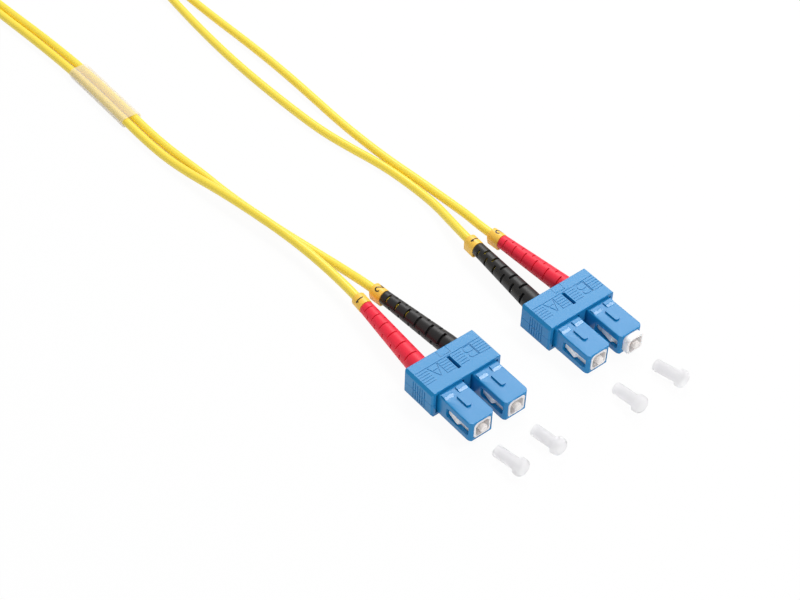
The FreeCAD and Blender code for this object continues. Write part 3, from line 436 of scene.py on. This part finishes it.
def moulded(name, light, dark, rough, grain=GRAIN_SCALE, bump=GRAIN_RELIEF, **shader):
    """Moulded finish: the grain group feeds colour, roughness and bump, the rest sits on the shader."""
    material = bpy.data.materials.new(name)
    material.use_nodes = True
    tree = material.node_tree
    surface = tree.nodes["Principled BSDF"]
    texture = wired(
        tree, "ShaderNodeGroup",
        {
            "Light Tone": (*light, 1), "Dark Tone": (*dark, 1), "Grain Scale": grain,
            "Rough Low": rough[0], "Rough High": rough[1],
        },
        node_tree=GRAIN,
    ).outputs
    relief = wired(tree, "ShaderNodeBump", {"Distance": bump, "Height": texture["Height"]})
    tree.links.new(texture["Color"], surface.inputs["Base Color"])
    tree.links.new(texture["Roughness"], surface.inputs["Roughness"])
    tree.links.new(relief.outputs["Normal"], surface.inputs["Normal"])
    for socket, value in shader.items():
        surface.inputs[socket.replace("_", " ")].default_value = value
    return material


def drawn_smooth(name, light, dark, rough):
    """Finish of drawn plastic, without relief."""
    return moulded(name, light, dark, rough, grain=SMOOTH_GRAIN_SCALE, bump=0.0)


def clear_film(name, light, dark, rough):
    """Smooth clear film, which hides more where it is seen edge on."""
    material = drawn_smooth(name, light, dark, rough)
    tree = material.node_tree
    view = wired(tree, "ShaderNodeLayerWeight", {"Blend": FILM_BLEND})
    cover = wired(
        tree, "ShaderNodeMapRange",
        {"Value": view.outputs["Facing"], "To Min": FILM_FACE_ON, "To Max": FILM_EDGE_ON},
    )
    tree.links.new(cover.outputs["Result"], tree.nodes["Principled BSDF"].inputs["Alpha"])
    return material


# Finishes by the record's material slots: light tone, dark tone and range of roughness.
FINISHES = {
    "clip_blue": moulded(
        "clip_blue_moulding", (0.018, 0.255, 0.56), (0.014, 0.242, 0.545), (0.2, 0.25),
        Specular_IOR_Level=0.28,
    ),
    "housing_blue": moulded(
        "housing_blue_moulding", (0.01, 0.24, 0.545), (0.006, 0.227, 0.53), (0.2, 0.24),
        Specular_IOR_Level=0.33,
    ),
    "frame_white": moulded(
        "frame_white_moulding", (0.99, 0.965, 0.965), (0.985, 0.95, 0.95), (0.3, 0.4),
        Subsurface_Weight=0.3, Subsurface_Radius=(1.0, 0.75, 0.65), Subsurface_Scale=0.002,
    ),
    "ferrule_ceramic": moulded("ferrule_zirconia", (0.94, 0.9, 0.88), (0.92, 0.87, 0.84), (0.1, 0.16)),
    "flange_metal": moulded(
        "flange_nickel", (0.66, 0.63, 0.57), (0.55, 0.52, 0.48), (0.22, 0.34), Metallic=1.0
    ),
    "spring_steel": moulded(
        "spring_wire_steel", (0.58, 0.58, 0.6), (0.45, 0.45, 0.47), (0.2, 0.3), Metallic=1.0
    ),
    "stop_metal": moulded(
        "stop_nickel", (0.68, 0.65, 0.6), (0.56, 0.54, 0.5), (0.25, 0.36), Metallic=1.0
    ),
    "crimp_metal": moulded(
        "crimp_brass", (0.72, 0.62, 0.4), (0.6, 0.5, 0.32), (0.26, 0.38), Metallic=1.0
    ),
    "fibre_buffer": moulded("fibre_buffer_white", (0.88, 0.88, 0.84), (0.8, 0.8, 0.76), (0.3, 0.4)),
    "boot_red": moulded(
        "boot_red_elastomer", (0.94, 0.031, 0.066), (0.9, 0.024, 0.054), (0.38, 0.46),
        Specular_IOR_Level=0.3,
    ),
    "boot_black": moulded(
        "boot_black_elastomer", (0.024, 0.022, 0.022), (0.016, 0.015, 0.015), (0.36, 0.44),
        Specular_IOR_Level=0.4,
    ),
    "ring_orange": moulded("ring_orange_vinyl", (1.0, 0.62, 0.085), (1.0, 0.58, 0.07), (0.32, 0.4)),
    "cap_clear": moulded(
        "cap_natural_polythene", (0.985, 0.98, 0.99), (0.98, 0.975, 0.985), (0.44, 0.52),
        Transmission_Weight=0.74, IOR=1.2,
    ),
    "cord_yellow": drawn_smooth("cord_yellow_jacket", (1.0, 0.78, 0.08), (0.99, 0.76, 0.07), (0.3, 0.34)),
    "sleeve_clear": clear_film("sleeve_clear_film", (0.93, 0.87, 0.77), (0.91, 0.85, 0.75), (0.2, 0.24)),
    "tie_black": moulded("tie_black_weave", (0.03, 0.03, 0.03), (0.015, 0.015, 0.015), (0.7, 0.85)),
}
PRINT_BLACK = moulded("ring_print_black", (0.03, 0.02, 0.015), (0.02, 0.015, 0.01), (0.4, 0.5))


def finish_cad_nodes():
    """Each carried-over CAD node takes the finish of its slot in the record."""
    slots = {piece["node"]: piece["material_slot"] for piece in frame["record"]["subparts"]}
    for name, node in nodes.items():
        node.data.materials.clear()
        node.data.materials.append(FINISHES[slots[name]])


def new_piece(name, data, stands_for, finish, *second, between=None):
    """Puts a finished mesh on the body of the CAD node that it stands for, or, given a between, leaves it in
    place on no body.
    """
    data.name = name
    for material in (FINISHES[finish], *second):
        data.materials.append(material)
    piece = bpy.data.objects.new(name, data)
    scene.collection.objects.link(piece)
    if between:
        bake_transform(piece)
    else:
        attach(piece, nodes[stands_for]["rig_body"])
    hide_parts(stands_for)
    return piece


def as_mesh(b, name):
    """Ends the work on a shape and gives it as a mesh."""
    data = bpy.data.meshes.new(name)
    b.to_mesh(data)
    b.free()
    return data


def add_mesh(b, data):
    """Takes a mesh into the shape that is being worked on."""
    b.from_mesh(data)
    bpy.data.meshes.remove(data)


def welded_copy(name):
    """CAD node's mesh as one welded surface."""
    b = bmesh.new()
    b.from_mesh(nodes[name].data)
    bmesh.ops.remove_doubles(b, verts=b.verts, dist=CAD_WELD)
    for layer in list(b.loops.layers.uv):
        b.loops.layers.uv.remove(layer)
    return b


def grown(tree, name, **sizes):
    """Plain mesh from a geometry tree with its inputs set."""
    holder = bpy.data.objects.new(name, bpy.data.meshes.new(name))
    scene.collection.objects.link(holder)
    modifier = holder.modifiers.new(name, "NODES")
    modifier.node_group = tree
    for socket in tree.interface.items_tree:
        if socket.in_out == "INPUT":
            modifier[socket.identifier] = sizes[socket.name.replace(" ", "_").lower()]
    sight = bpy.context.evaluated_depsgraph_get()
    data = bpy.data.meshes.new_from_object(holder.evaluated_get(sight), depsgraph=sight)
    bpy.data.objects.remove(holder)
    return data


def lathe(profile, sides):
    """Closed turned shape about Y from (y, radius) points that end on the axis or close a loop."""
    b = bmesh.new()
    step = 2 * math.pi / sides
    rings = []
    for y, r in profile:
        ring = []
        for n in range(sides if r > 0 else 1):
            place = (r * MM * math.cos(step * n), y * MM, r * MM * math.sin(step * n))
            ring.append(b.verts.new(place))
        rings.append(ring)
    closed = profile[0][1] > 0
    for first, second in zip(rings, rings[1:] + (rings[:1] if closed else [])):
        for n in range(sides):
            m = (n + 1) % sides
            corners = [ring[k % len(ring)] for ring, k in ((first, n), (first, m), (second, m), (second, n))]
            b.faces.new(list(dict.fromkeys(corners)))
    bmesh.ops.recalc_face_normals(b, faces=b.faces)
    return b


def tube(y0, y1, bore_r, r):
    """Plain tube about Y, for a boot's neck and the liner of painted shade under its slots."""
    return lathe([(y0, bore_r), (y0, r), (y1, r), (y1, bore_r)], BOOT_SIDES)


def hard_edges(b, angle, shortest=0.0):
    """Edges that turn by more than the angle, none of whose neighbours is shorter than asked."""
    return [
        edge
        for edge in b.edges
        if len(edge.link_faces) == 2
        and edge.calc_face_angle(0.0) > angle
        and min(near.calc_length() for vert in edge.verts for near in vert.link_edges) > shortest
    ]


def rounded_off(b, edges, width, steps):
    """Bevels the edges round, and gives back the new faces."""
    return bmesh.ops.bevel(
        b, geom=edges, offset=width, offset_type="OFFSET", segments=steps, profile=0.5, affect="EDGES",
        clamp_overlap=True,
    )["faces"]


def ease_edges(b, ease):
    """Rounds off the hard edges, then shades rounds and curved skin smooth and flat walls flat."""
    angle = math.radians(ease.angle)
    edges = hard_edges(b, angle, ease.shortest * MM)
    rounds = set(rounded_off(b, edges, ease.width * MM, ease.steps))
    for face in b.faces:
        face.smooth = face in rounds
    for edge in b.edges:
        turn = edge.calc_face_angle(math.pi)
        edge.smooth = turn < math.radians(SHADED_SMOOTH_BELOW)
        curved = math.radians(CURVED_ABOVE) < turn < angle * CURVED_BELOW_SHARE
        if curved and not rounds.intersection(edge.link_faces):
            for face in edge.link_faces:
                face.smooth = True


def eased_piece(node, name, finish, ease):
    """Piece of a CAD node's own shape, with its edges rounded off."""
    b = welded_copy(node)
    ease_edges(b, ease)
    return new_piece(name, as_mesh(b, name), node, finish)


def plug_axis(plug, y=0.0):
    """Point on a plug's axis in metres, from its clip's front and its own step forward."""
    p = PLUGS[plug]
    return Vector((p.clip_x + p.side * PLUG_PITCH / 2, p.clip_y - p.forward + y, AXIS_Z)) * MM


def boot_place(plug):
    """Where a boot's tail stands: hinged behind its plug, leaning in and dropping a little."""
    lean = -PLUGS[plug].side * PLUGS[plug].lean
    reach = Vector((lean, math.sqrt(BOOT_L**2 - lean**2 - BOOT_DROP**2), -BOOT_DROP))
    turn = Vector((0, 1, 0)).rotation_difference(reach).to_matrix().to_4x4()
    return Matrix.Translation(plug_axis(plug, BOOT_HINGE_Y)) @ turn


def geometry_tree(name, sizes, counts=()):
    """New geometry tree with its named sizes and counts, its finish and its output."""
    tree = bpy.data.node_groups.new(name, "GeometryNodeTree")
    for kind, labels in (
        ("NodeSocketFloat", sizes), ("NodeSocketInt", counts), ("NodeSocketMaterial", ("Finish",))
    ):
        for label in labels:
            tree.interface.new_socket(label, in_out="INPUT", socket_type=kind)
    tree.interface.new_socket("Geometry", in_out="OUTPUT", socket_type="NodeSocketGeometry")
    return tree, tree.nodes.new("NodeGroupInput").outputs


def dress(tree, shape, finish):
    """Ends a geometry tree: its shape takes the finish and goes out."""
    dressed = wired(tree, "GeometryNodeSetMaterial", {"Geometry": shape, "Material": finish})
    wired(tree, "NodeGroupOutput", {"Geometry": dressed.outputs["Geometry"]})


def slotted_boot_tree():
    """Tapering sleeve whose levels of slots are laid out flat, turned a quarter each, then rolled up."""
    tree, given = geometry_tree(
        "slotted_boot",
        (
            "Tail Length", "End Length", "Level Pitch", "Slot Width", "Web Angle", "Root Radius",
            "End Radius", "Plain Length", "Lead In", "Bore Radius", "Pitch Growth",
        ),
        ("Level Count",),
    )
    times, plus, less = (partial(reckon, tree, name) for name in ("MULTIPLY", "ADD", "SUBTRACT"))

    def band(length, rows, middle):
        grid = wired(
            tree, "GeometryNodeMeshGrid",
            {
                "Size X": 2 * math.pi, "Size Y": length,
                "Vertices X": BOOT_SIDES + 1, "Vertices Y": rows + 1,
            },
        )
        return wired(
            tree, "GeometryNodeTransform",
            {"Geometry": grid.outputs["Mesh"], "Translation": point(tree, 0.0, middle, 0.0)},
        ).outputs["Geometry"]

    def moved_to(shape, place):
        node = wired(tree, "GeometryNodeSetPosition", {"Geometry": shape, "Position": place})
        return node.outputs["Geometry"]

    def welded(shape):
        node = wired(tree, "GeometryNodeMergeByDistance", {"Geometry": shape, "Distance": BOOT_WELD})
        return node.outputs["Geometry"]

    slot = given["Slot Width"]
    pitch = given["Level Pitch"]
    tail = given["Tail Length"]
    end_l = given["End Length"]
    position = tree.nodes.new("GeometryNodeInputPosition").outputs[0]
    x, y, z = wired(tree, "ShaderNodeSeparateXYZ", {"Vector": position}).outputs

    # One level: a land all round, and the webs that are left between its two slots.
    off_web = reckon(
        tree, "GREATER_THAN",
        reckon(tree, "ABSOLUTE", reckon(tree, "SINE", x)),
        reckon(tree, "SINE", times(given["Web Angle"], 0.5)),
    )
    webs = wired(
        tree, "GeometryNodeDeleteGeometry",
        {"Geometry": band(slot, rows=1, middle=times(slot, -0.5)), "Selection": off_web}, domain="FACE",
    ).outputs["Geometry"]
    land = band(less(pitch, slot), rows=4, middle=times(plus(pitch, slot), -0.5))

    # All levels in a row, with the plain end and the plain root.
    first = less(tail, end_l)
    slotted_l = times(given["Level Count"], pitch)
    stations = wired(
        tree, "GeometryNodeMeshLine",
        {
            "Count": given["Level Count"],
            "Start Location": point(tree, 0.0, first, 0.0),
            "Offset": point(tree, math.pi / 2, times(pitch, -1.0), 0.0),
        },
    )
    levels = wired(
        tree, "GeometryNodeInstanceOnPoints",
        {"Points": stations.outputs["Mesh"], "Instance": joined(tree, webs, land)},
    )
    end = band(end_l, rows=3, middle=less(tail, times(end_l, 0.5)))
    root_l = plus(less(first, slotted_l), given["Lead In"])
    root = band(root_l, rows=5, middle=less(times(root_l, 0.5), given["Lead In"]))
    flat = wired(
        tree, "GeometryNodeRealizeInstances",
        {"Geometry": joined(tree, end, levels.outputs["Instances"], root)},
    )

    # Levels drawn closer towards the thin end, then the sheet rolled to its tapering radius.
    deep = less(first, y)
    share = wired(
        tree, "ShaderNodeMapRange",
        {"Value": deep, "From Max": slotted_l, "To Min": less(1.0, given["Pitch Growth"])},
    ).outputs["Result"]
    spread = plus(
        reckon(tree, "MINIMUM", deep, 0.0), times(reckon(tree, "MAXIMUM", deep, 0.0), share)
    )
    spaced = moved_to(flat.outputs["Geometry"], point(tree, x, less(first, spread), 0.0))
    radius = wired(
        tree, "ShaderNodeMapRange",
        {
            "Value": y, "From Min": given["Plain Length"], "From Max": tail,
            "To Min": given["Root Radius"], "To Max": given["End Radius"],
        },
    ).outputs["Result"]
    across = times(radius, reckon(tree, "COSINE", x))
    up = times(radius, times(reckon(tree, "SINE", x), -1.0))
    skin = welded(moved_to(spaced, point(tree, across, y, up)))

    # The wall's thickness: a second skin drawn in to the bore, with walls between the two.
    wall = wired(
        tree, "GeometryNodeExtrudeMesh",
        {"Mesh": skin, "Offset Scale": 0.0, "Individual": False}, mode="FACES",
    )
    outward = wired(tree, "ShaderNodeVectorMath", {0: point(tree, x, 0.0, z)}, operation="NORMALIZE")
    reach = wired(
        tree, "ShaderNodeVectorMath",
        {0: outward.outputs["Vector"], "Scale": given["Bore Radius"]}, operation="SCALE",
    )
    inner = wired(
        tree, "ShaderNodeVectorMath",
        {0: reach.outputs["Vector"], 1: point(tree, 0.0, y, 0.0)}, operation="ADD",
    )
    bored = wired(
        tree, "GeometryNodeSetPosition",
        {
            "Geometry": wall.outputs["Mesh"], "Selection": wall.outputs["Top"],
            "Position": inner.outputs["Vector"],
        },
    )
    lining = wired(tree, "GeometryNodeFlipFaces", {"Mesh": bored.outputs["Geometry"]})
    dress(tree, welded(joined(tree, skin, lining.outputs["Mesh"])), given["Finish"])
    return tree


def round_slot_ends(b, radius):
    """Rounds the corners at both ends of every slot, whose edges run from the skin to the bore."""
    corners = []
    for edge in hard_edges(b, math.radians(EASED["boot"].angle)):
        first, second = (Vector((v.co.x, v.co.z)) for v in edge.verts)
        if abs(first.length - second.length) > SLOT_END_DEPTH * MM:
            corners.append(edge)
    rounded_off(b, corners, radius, SLOT_END_STEPS)


def boots():
    """Slotted boots with their necks, and liners of painted shade under the deeper slots."""
    tree = slotted_boot_tree()
    for plug in PLUGS:
        finish = "boot_red" if plug.endswith("red") else "boot_black"
        slot_w = SLOT_W[finish]
        data = grown(
            tree, plug + "_slotted_boot", tail_length=BOOT_L * MM, end_length=BOOT_END_L * MM,
            level_pitch=SLOT_PITCH * MM, slot_width=slot_w * MM, web_angle=math.radians(SLOT_WEB_ANGLE),
            pitch_growth=SLOT_PITCH_GROWTH, root_radius=BOOT_ROOT_R * MM, end_radius=BOOT_END_R * MM,
            plain_length=BOOT_PLAIN_L * MM, lead_in=BOOT_LEAD_IN * MM, bore_radius=BOOT_BORE_R * MM,
            level_count=SLOT_LEVELS, finish=FINISHES[finish],
        )
        b = bmesh.new()
        add_mesh(b, data)
        round_slot_ends(b, slot_w * SLOT_END_SHARE * MM)
        ease_edges(b, EASED["boot"])
        place = boot_place(plug)
        b.transform(place @ Matrix.Rotation(math.radians(PLUGS[plug].roll + 90), 4, "Y"))
        neck = tube(NECK_FROM_Y, NECK_TO_Y, NECK_BORE_R, NECK_R)
        neck.transform(Matrix.Translation(plug_axis(plug)))
        add_mesh(b, as_mesh(neck, "neck"))
        # Painted shade: the liner closes the deeper slots in the boot's own finish, so they show dark
        # instead of the cord.
        floor = tube(SLOT_SHADE_LINER_FROM, SLOT_SHADE_LINER_TO, SLOT_SHADE_LINER_BORE_R, SLOT_SHADE_LINER_R)
        floor.transform(place)
        add_mesh(b, as_mesh(floor, "slot_floor"))
        new_piece(plug + "_slotted_boot", as_mesh(b, "boot"), plug + "_boot", finish)


def clips():
    """Lower and upper halves of both duplex clips."""
    for end in ("left", "right"):
        eased_piece(f"{end}_clip_lower", f"{end}_clip_base", "clip_blue", EASED["clip"])
        eased_piece(f"{end}_clip_upper", f"{end}_clip_cover", "clip_blue", EASED["clip"])


def full_rim(b, front):
    """Draws the flared entry of the mouth in, so that the frame ends in a broad flat rim."""
    core = RIM_CORE_HALF * MM
    for vert in b.verts:
        off = vert.co - front
        outline = math.hypot(max(abs(off.x) - core, 0), max(abs(off.z) - core, 0))
        if abs(off.y) < RIM_DEPTH * MM and outline < RIM_CORNER_R * MM:
            vert.co = front + off * RIM_DRAWN_IN


def plugs():
    """Outer housings and the white frames inside them."""
    for plug in PLUGS:
        eased_piece(plug + "_outer_housing", plug + "_housing", "housing_blue", EASED["housing"])
        b = welded_copy(plug + "_plug_frame")
        full_rim(b, plug_axis(plug, MOUTH_Y))
        ease_edges(b, EASED["frame"])
        new_piece(plug + "_frame", as_mesh(b, "frame"), plug + "_plug_frame", "frame_white")


def caps():
    """Dust caps turned with a domed head, tipped until the tube's open end and the head touch the floor."""
    dome = [math.pi / 2 * n / CAP_DOME_STEPS for n in range(CAP_DOME_STEPS + 1)]
    bore = [(-CAP_BORE_L, 0), (-CAP_BORE_L, CAP_BORE_R), (0, CAP_BORE_R)]
    skirt = [(0, CAP_TUBE_R), (-CAP_TUBE_L, CAP_TUBE_R), (-CAP_TUBE_L, CAP_HEAD_R)]
    head = [
        (
            -(CAP_L - CAP_DOME_R) - CAP_DOME_R * math.sin(t),
            CAP_HEAD_R - CAP_DOME_R + CAP_DOME_R * math.cos(t),
        )
        for t in dome
    ]
    tilt = math.atan2(CAP_HEAD_R - CAP_TUBE_R, CAP_TUBE_L)
    for plug, (x, y, heading) in CAPS.items():
        b = lathe(bore + skirt + head + [(-CAP_L, 0)], CAP_SIDES)
        ease_edges(b, EASED["cap"])
        lay = Matrix.Rotation(math.radians(heading), 4, "Z") @ Matrix.Rotation(-tilt, 4, "X")
        b.transform(Matrix.Translation(Vector((x, y, CAP_TUBE_R * math.cos(tilt))) * MM) @ lay)
        new_piece(plug + "_cap", as_mesh(b, "cap"), plug + "_dust_cap", "cap_clear")


def ferrules():
    """Ceramic rods with a chamfered tip and a thinner shank."""
    profile = [
        (FERRULE_TIP_Y, 0), (FERRULE_TIP_Y, FERRULE_TIP_R), (FERRULE_CHAMFER_Y, FERRULE_R),
        (SHANK_FROM_Y, FERRULE_R), (SHANK_FROM_Y, SHANK_R), (SHANK_TO_Y, SHANK_R), (SHANK_TO_Y, 0),
    ]
    for plug in PLUGS:
        b = lathe(profile, FERRULE_SIDES)
        ease_edges(b, EASED["ferrule"])
        b.transform(Matrix.Translation(plug_axis(plug)))
        new_piece(plug + "_ceramic_ferrule", as_mesh(b, "ferrule"), plug + "_ferrule", "ferrule_ceramic")


def wound_spring_tree():
    """Round wire wound about Y at an even pitch."""
    tree, given = geometry_tree("wound_spring", ("Mean Radius", "Wire Radius", "Seat Length", "Turn Count"))
    times = partial(reckon, tree, "MULTIPLY")
    line = tree.nodes.new("GeometryNodeCurvePrimitiveLine")
    steps = wired(
        tree, "GeometryNodeResampleCurve", {"Curve": line.outputs["Curve"], "Count": SPRING_POINTS}
    )
    share = tree.nodes.new("GeometryNodeSplineParameter").outputs["Factor"]
    angle = times(times(share, given["Turn Count"]), 2 * math.pi)
    across = times(given["Mean Radius"], reckon(tree, "COSINE", angle))
    up = times(given["Mean Radius"], reckon(tree, "SINE", angle))
    wound = wired(
        tree, "GeometryNodeSetPosition",
        {
            "Geometry": steps.outputs["Curve"],
            "Position": point(tree, across, times(share, given["Seat Length"]), up),
        },
    )
    section = wired(
        tree, "GeometryNodeCurvePrimitiveCircle",
        {"Resolution": SPRING_WIRE_SIDES, "Radius": given["Wire Radius"]},
    )
    wire = wired(
        tree, "GeometryNodeCurveToMesh",
        {"Curve": wound.outputs["Geometry"], "Profile Curve": section.outputs["Curve"], "Fill Caps": True},
    )
    whole = wired(tree, "GeometryNodeRealizeInstances", {"Geometry": wire.outputs["Mesh"]})
    dress(tree, whole.outputs["Geometry"], given["Finish"])
    return tree


def springs():
    """Ferrule springs, wound between the flange and the stop body."""
    tree = wound_spring_tree()
    for plug in PLUGS:
        data = grown(
            tree, plug + "_wound_spring", mean_radius=SPRING_R * MM, wire_radius=SPRING_WIRE_R * MM,
            seat_length=SPRING_L * MM, turn_count=SPRING_TURNS, finish=FINISHES["spring_steel"],
        )
        b = bmesh.new()
        add_mesh(b, data)
        bmesh.ops.recalc_face_normals(b, faces=b.faces)
        for face in b.faces:
            face.smooth = len(face.verts) == 4
        b.transform(Matrix.Translation(plug_axis(plug, SPRING_FROM_Y)))
        new_piece(
            plug + "_wound_spring", as_mesh(b, "spring"), plug + "_ferrule_spring", "spring_steel",
            between=(
                plug + "_ferrule_set", plug + "_core",
                plug_axis(plug, SPRING_FRONT_Y), plug_axis(plug, SPRING_REAR_Y),
            ),
        )


def number_line(number):
    """Middle line of a printed 1 or 2, about three millimetres tall, in short steps."""
    bends = list(NUMBER_ONE)
    if number == "2":
        bow = [math.radians(TWO_BOW_FROM - TWO_BOW_STEP * n) for n in range(TWO_BOW_POINTS)]
        bends = [(TWO_BOW_R * math.cos(t), TWO_BOW_MIDDLE + TWO_BOW_R * math.sin(t)) for t in bow]
        bends += TWO_FOOT
    line = [bends[0]]
    for (u0, v0), (u1, v1) in zip(bends, bends[1:]):
        steps = max(1, round(math.hypot(u1 - u0, v1 - v0) / STROKE_STEP))
        line += [(u0 + (u1 - u0) * n / steps, v0 + (v1 - v0) * n / steps) for n in range(1, steps + 1)]
    return line


def printed_number(plug):
    """Print on the ring's crown: a thin raised stroke that bends round the ring."""
    line = number_line(PLUGS[plug].number)
    middle = BOOT_L + RING_GAP + RING_L / 2
    low = RING_R - PRINT_RISE
    high = RING_R + PRINT_RISE
    b = bmesh.new()
    rows = []
    for across, r in ((-1, low), (-1, high), (1, high), (1, low)):
        row = []
        for n, (u, v) in enumerate(line):
            u0, v0 = line[max(n - 1, 0)]
            u1, v1 = line[min(n + 1, len(line) - 1)]
            aside = across * STROKE_HALF_W / math.hypot(u1 - u0, v1 - v0)
            along = middle + u - aside * (v1 - v0)
            angle = math.radians(PLUGS[plug].number_turn) + (v + aside * (u1 - u0)) / RING_R
            place = Vector((-r * math.sin(angle), along, r * math.cos(angle))) * MM
            row.append(b.verts.new(place))
        rows.append(row)
    for first, second in zip(rows, rows[1:] + rows[:1]):
        for n in range(len(line) - 1):
            b.faces.new((first[n], first[n + 1], second[n + 1], second[n]))
    for end in (0, -1):
        b.faces.new([row[end] for row in rows])
    for face in b.faces:
        face.material_index = 1
    bmesh.ops.recalc_face_normals(b, faces=b.faces)
    b.transform(boot_place(plug))
    return as_mesh(b, "number")


def rings():
    """Marker rings with softened rims and a printed number on the crown."""
    made = {}
    for plug in PLUGS:
        b = welded_copy(plug + "_marker_ring")
        ease_edges(b, EASED["ring"])
        for face in b.faces:
            face.material_index = 0
        add_mesh(b, printed_number(plug))
        made[plug] = new_piece(
            plug + "_ring", as_mesh(b, "ring"), plug + "_marker_ring", "ring_orange", PRINT_BLACK
        )
    return made


def smooth_step(t):
    """Rise from 0 to 1 that starts and ends level."""
    t = min(max(t, 0.0), 1.0)
    return t * t * (3 - 2 * t)


def coil_turns(radius):
    """Control points of the put-away turns, clockwise from the left side, climbing a layer each turn."""
    points = []
    out = radius / math.cos(math.pi / COIL_POINTS_PER_TURN)
    for n in range(1, int(COIL_TURNS * COIL_POINTS_PER_TURN)):
        turn = n / COIL_POINTS_PER_TURN
        angle = math.pi - turn * 2 * math.pi
        climb = smooth_step((turn % 1.0 - COIL_CLIMB_FROM) / (1 - COIL_CLIMB_FROM))
        points.append(
            (
                COIL_CENTRE[0] + out * math.cos(angle),
                COIL_CENTRE[1] + out * math.sin(angle),
                COIL_BASE_Z + COIL_LAYER * (math.floor(turn) + climb),
            )
        )
    return points


def cord(name, out_route, back_route, radius):
    """One jacketed leg from boot to boot, a single smooth line through its route and its coil."""
    points = list(out_route) + coil_turns(radius) + list(reversed(back_route))
    data = bpy.data.curves.new(name, "CURVE")
    data.dimensions = "3D"
    spline = data.splines.new("NURBS")
    spline.points.add(len(points) - 1)
    for control, place in zip(spline.points, points):
        control.co = (*(c * MM for c in place), 1.0)
    spline.order_u = 3
    spline.use_endpoint_u = True
    spline.resolution_u = CORD_LINE_STEPS
    data.bevel_depth = CORD_D / 2 * MM
    data.bevel_resolution = CORD_ROUND_STEPS
    data.use_fill_caps = True
    data.materials.append(FINISHES["cord_yellow"])
    line = bpy.data.objects.new(name, data)
    scene.collection.objects.link(line)
    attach(line, ROOT)
    return line


def cords(rings_on):
    """Red-booted and black-booted cords; the rings on them, which it is given, are not used."""
    red = cord("red_cord", LEFT_RED_ROUTE, RIGHT_RED_ROUTE, RED_COIL_R)
    black = cord("black_cord", LEFT_BLACK_ROUTE, RIGHT_BLACK_ROUTE, BLACK_COIL_R)
    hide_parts("left_red_cord", "right_red_cord", "cord_coil")
    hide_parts("left_black_cord", "right_black_cord")


camera_at_photo_angle()
studio()
finish_cad_nodes()
boots()
clips()
plugs()
caps()
ferrules()
springs()
cords(rings())
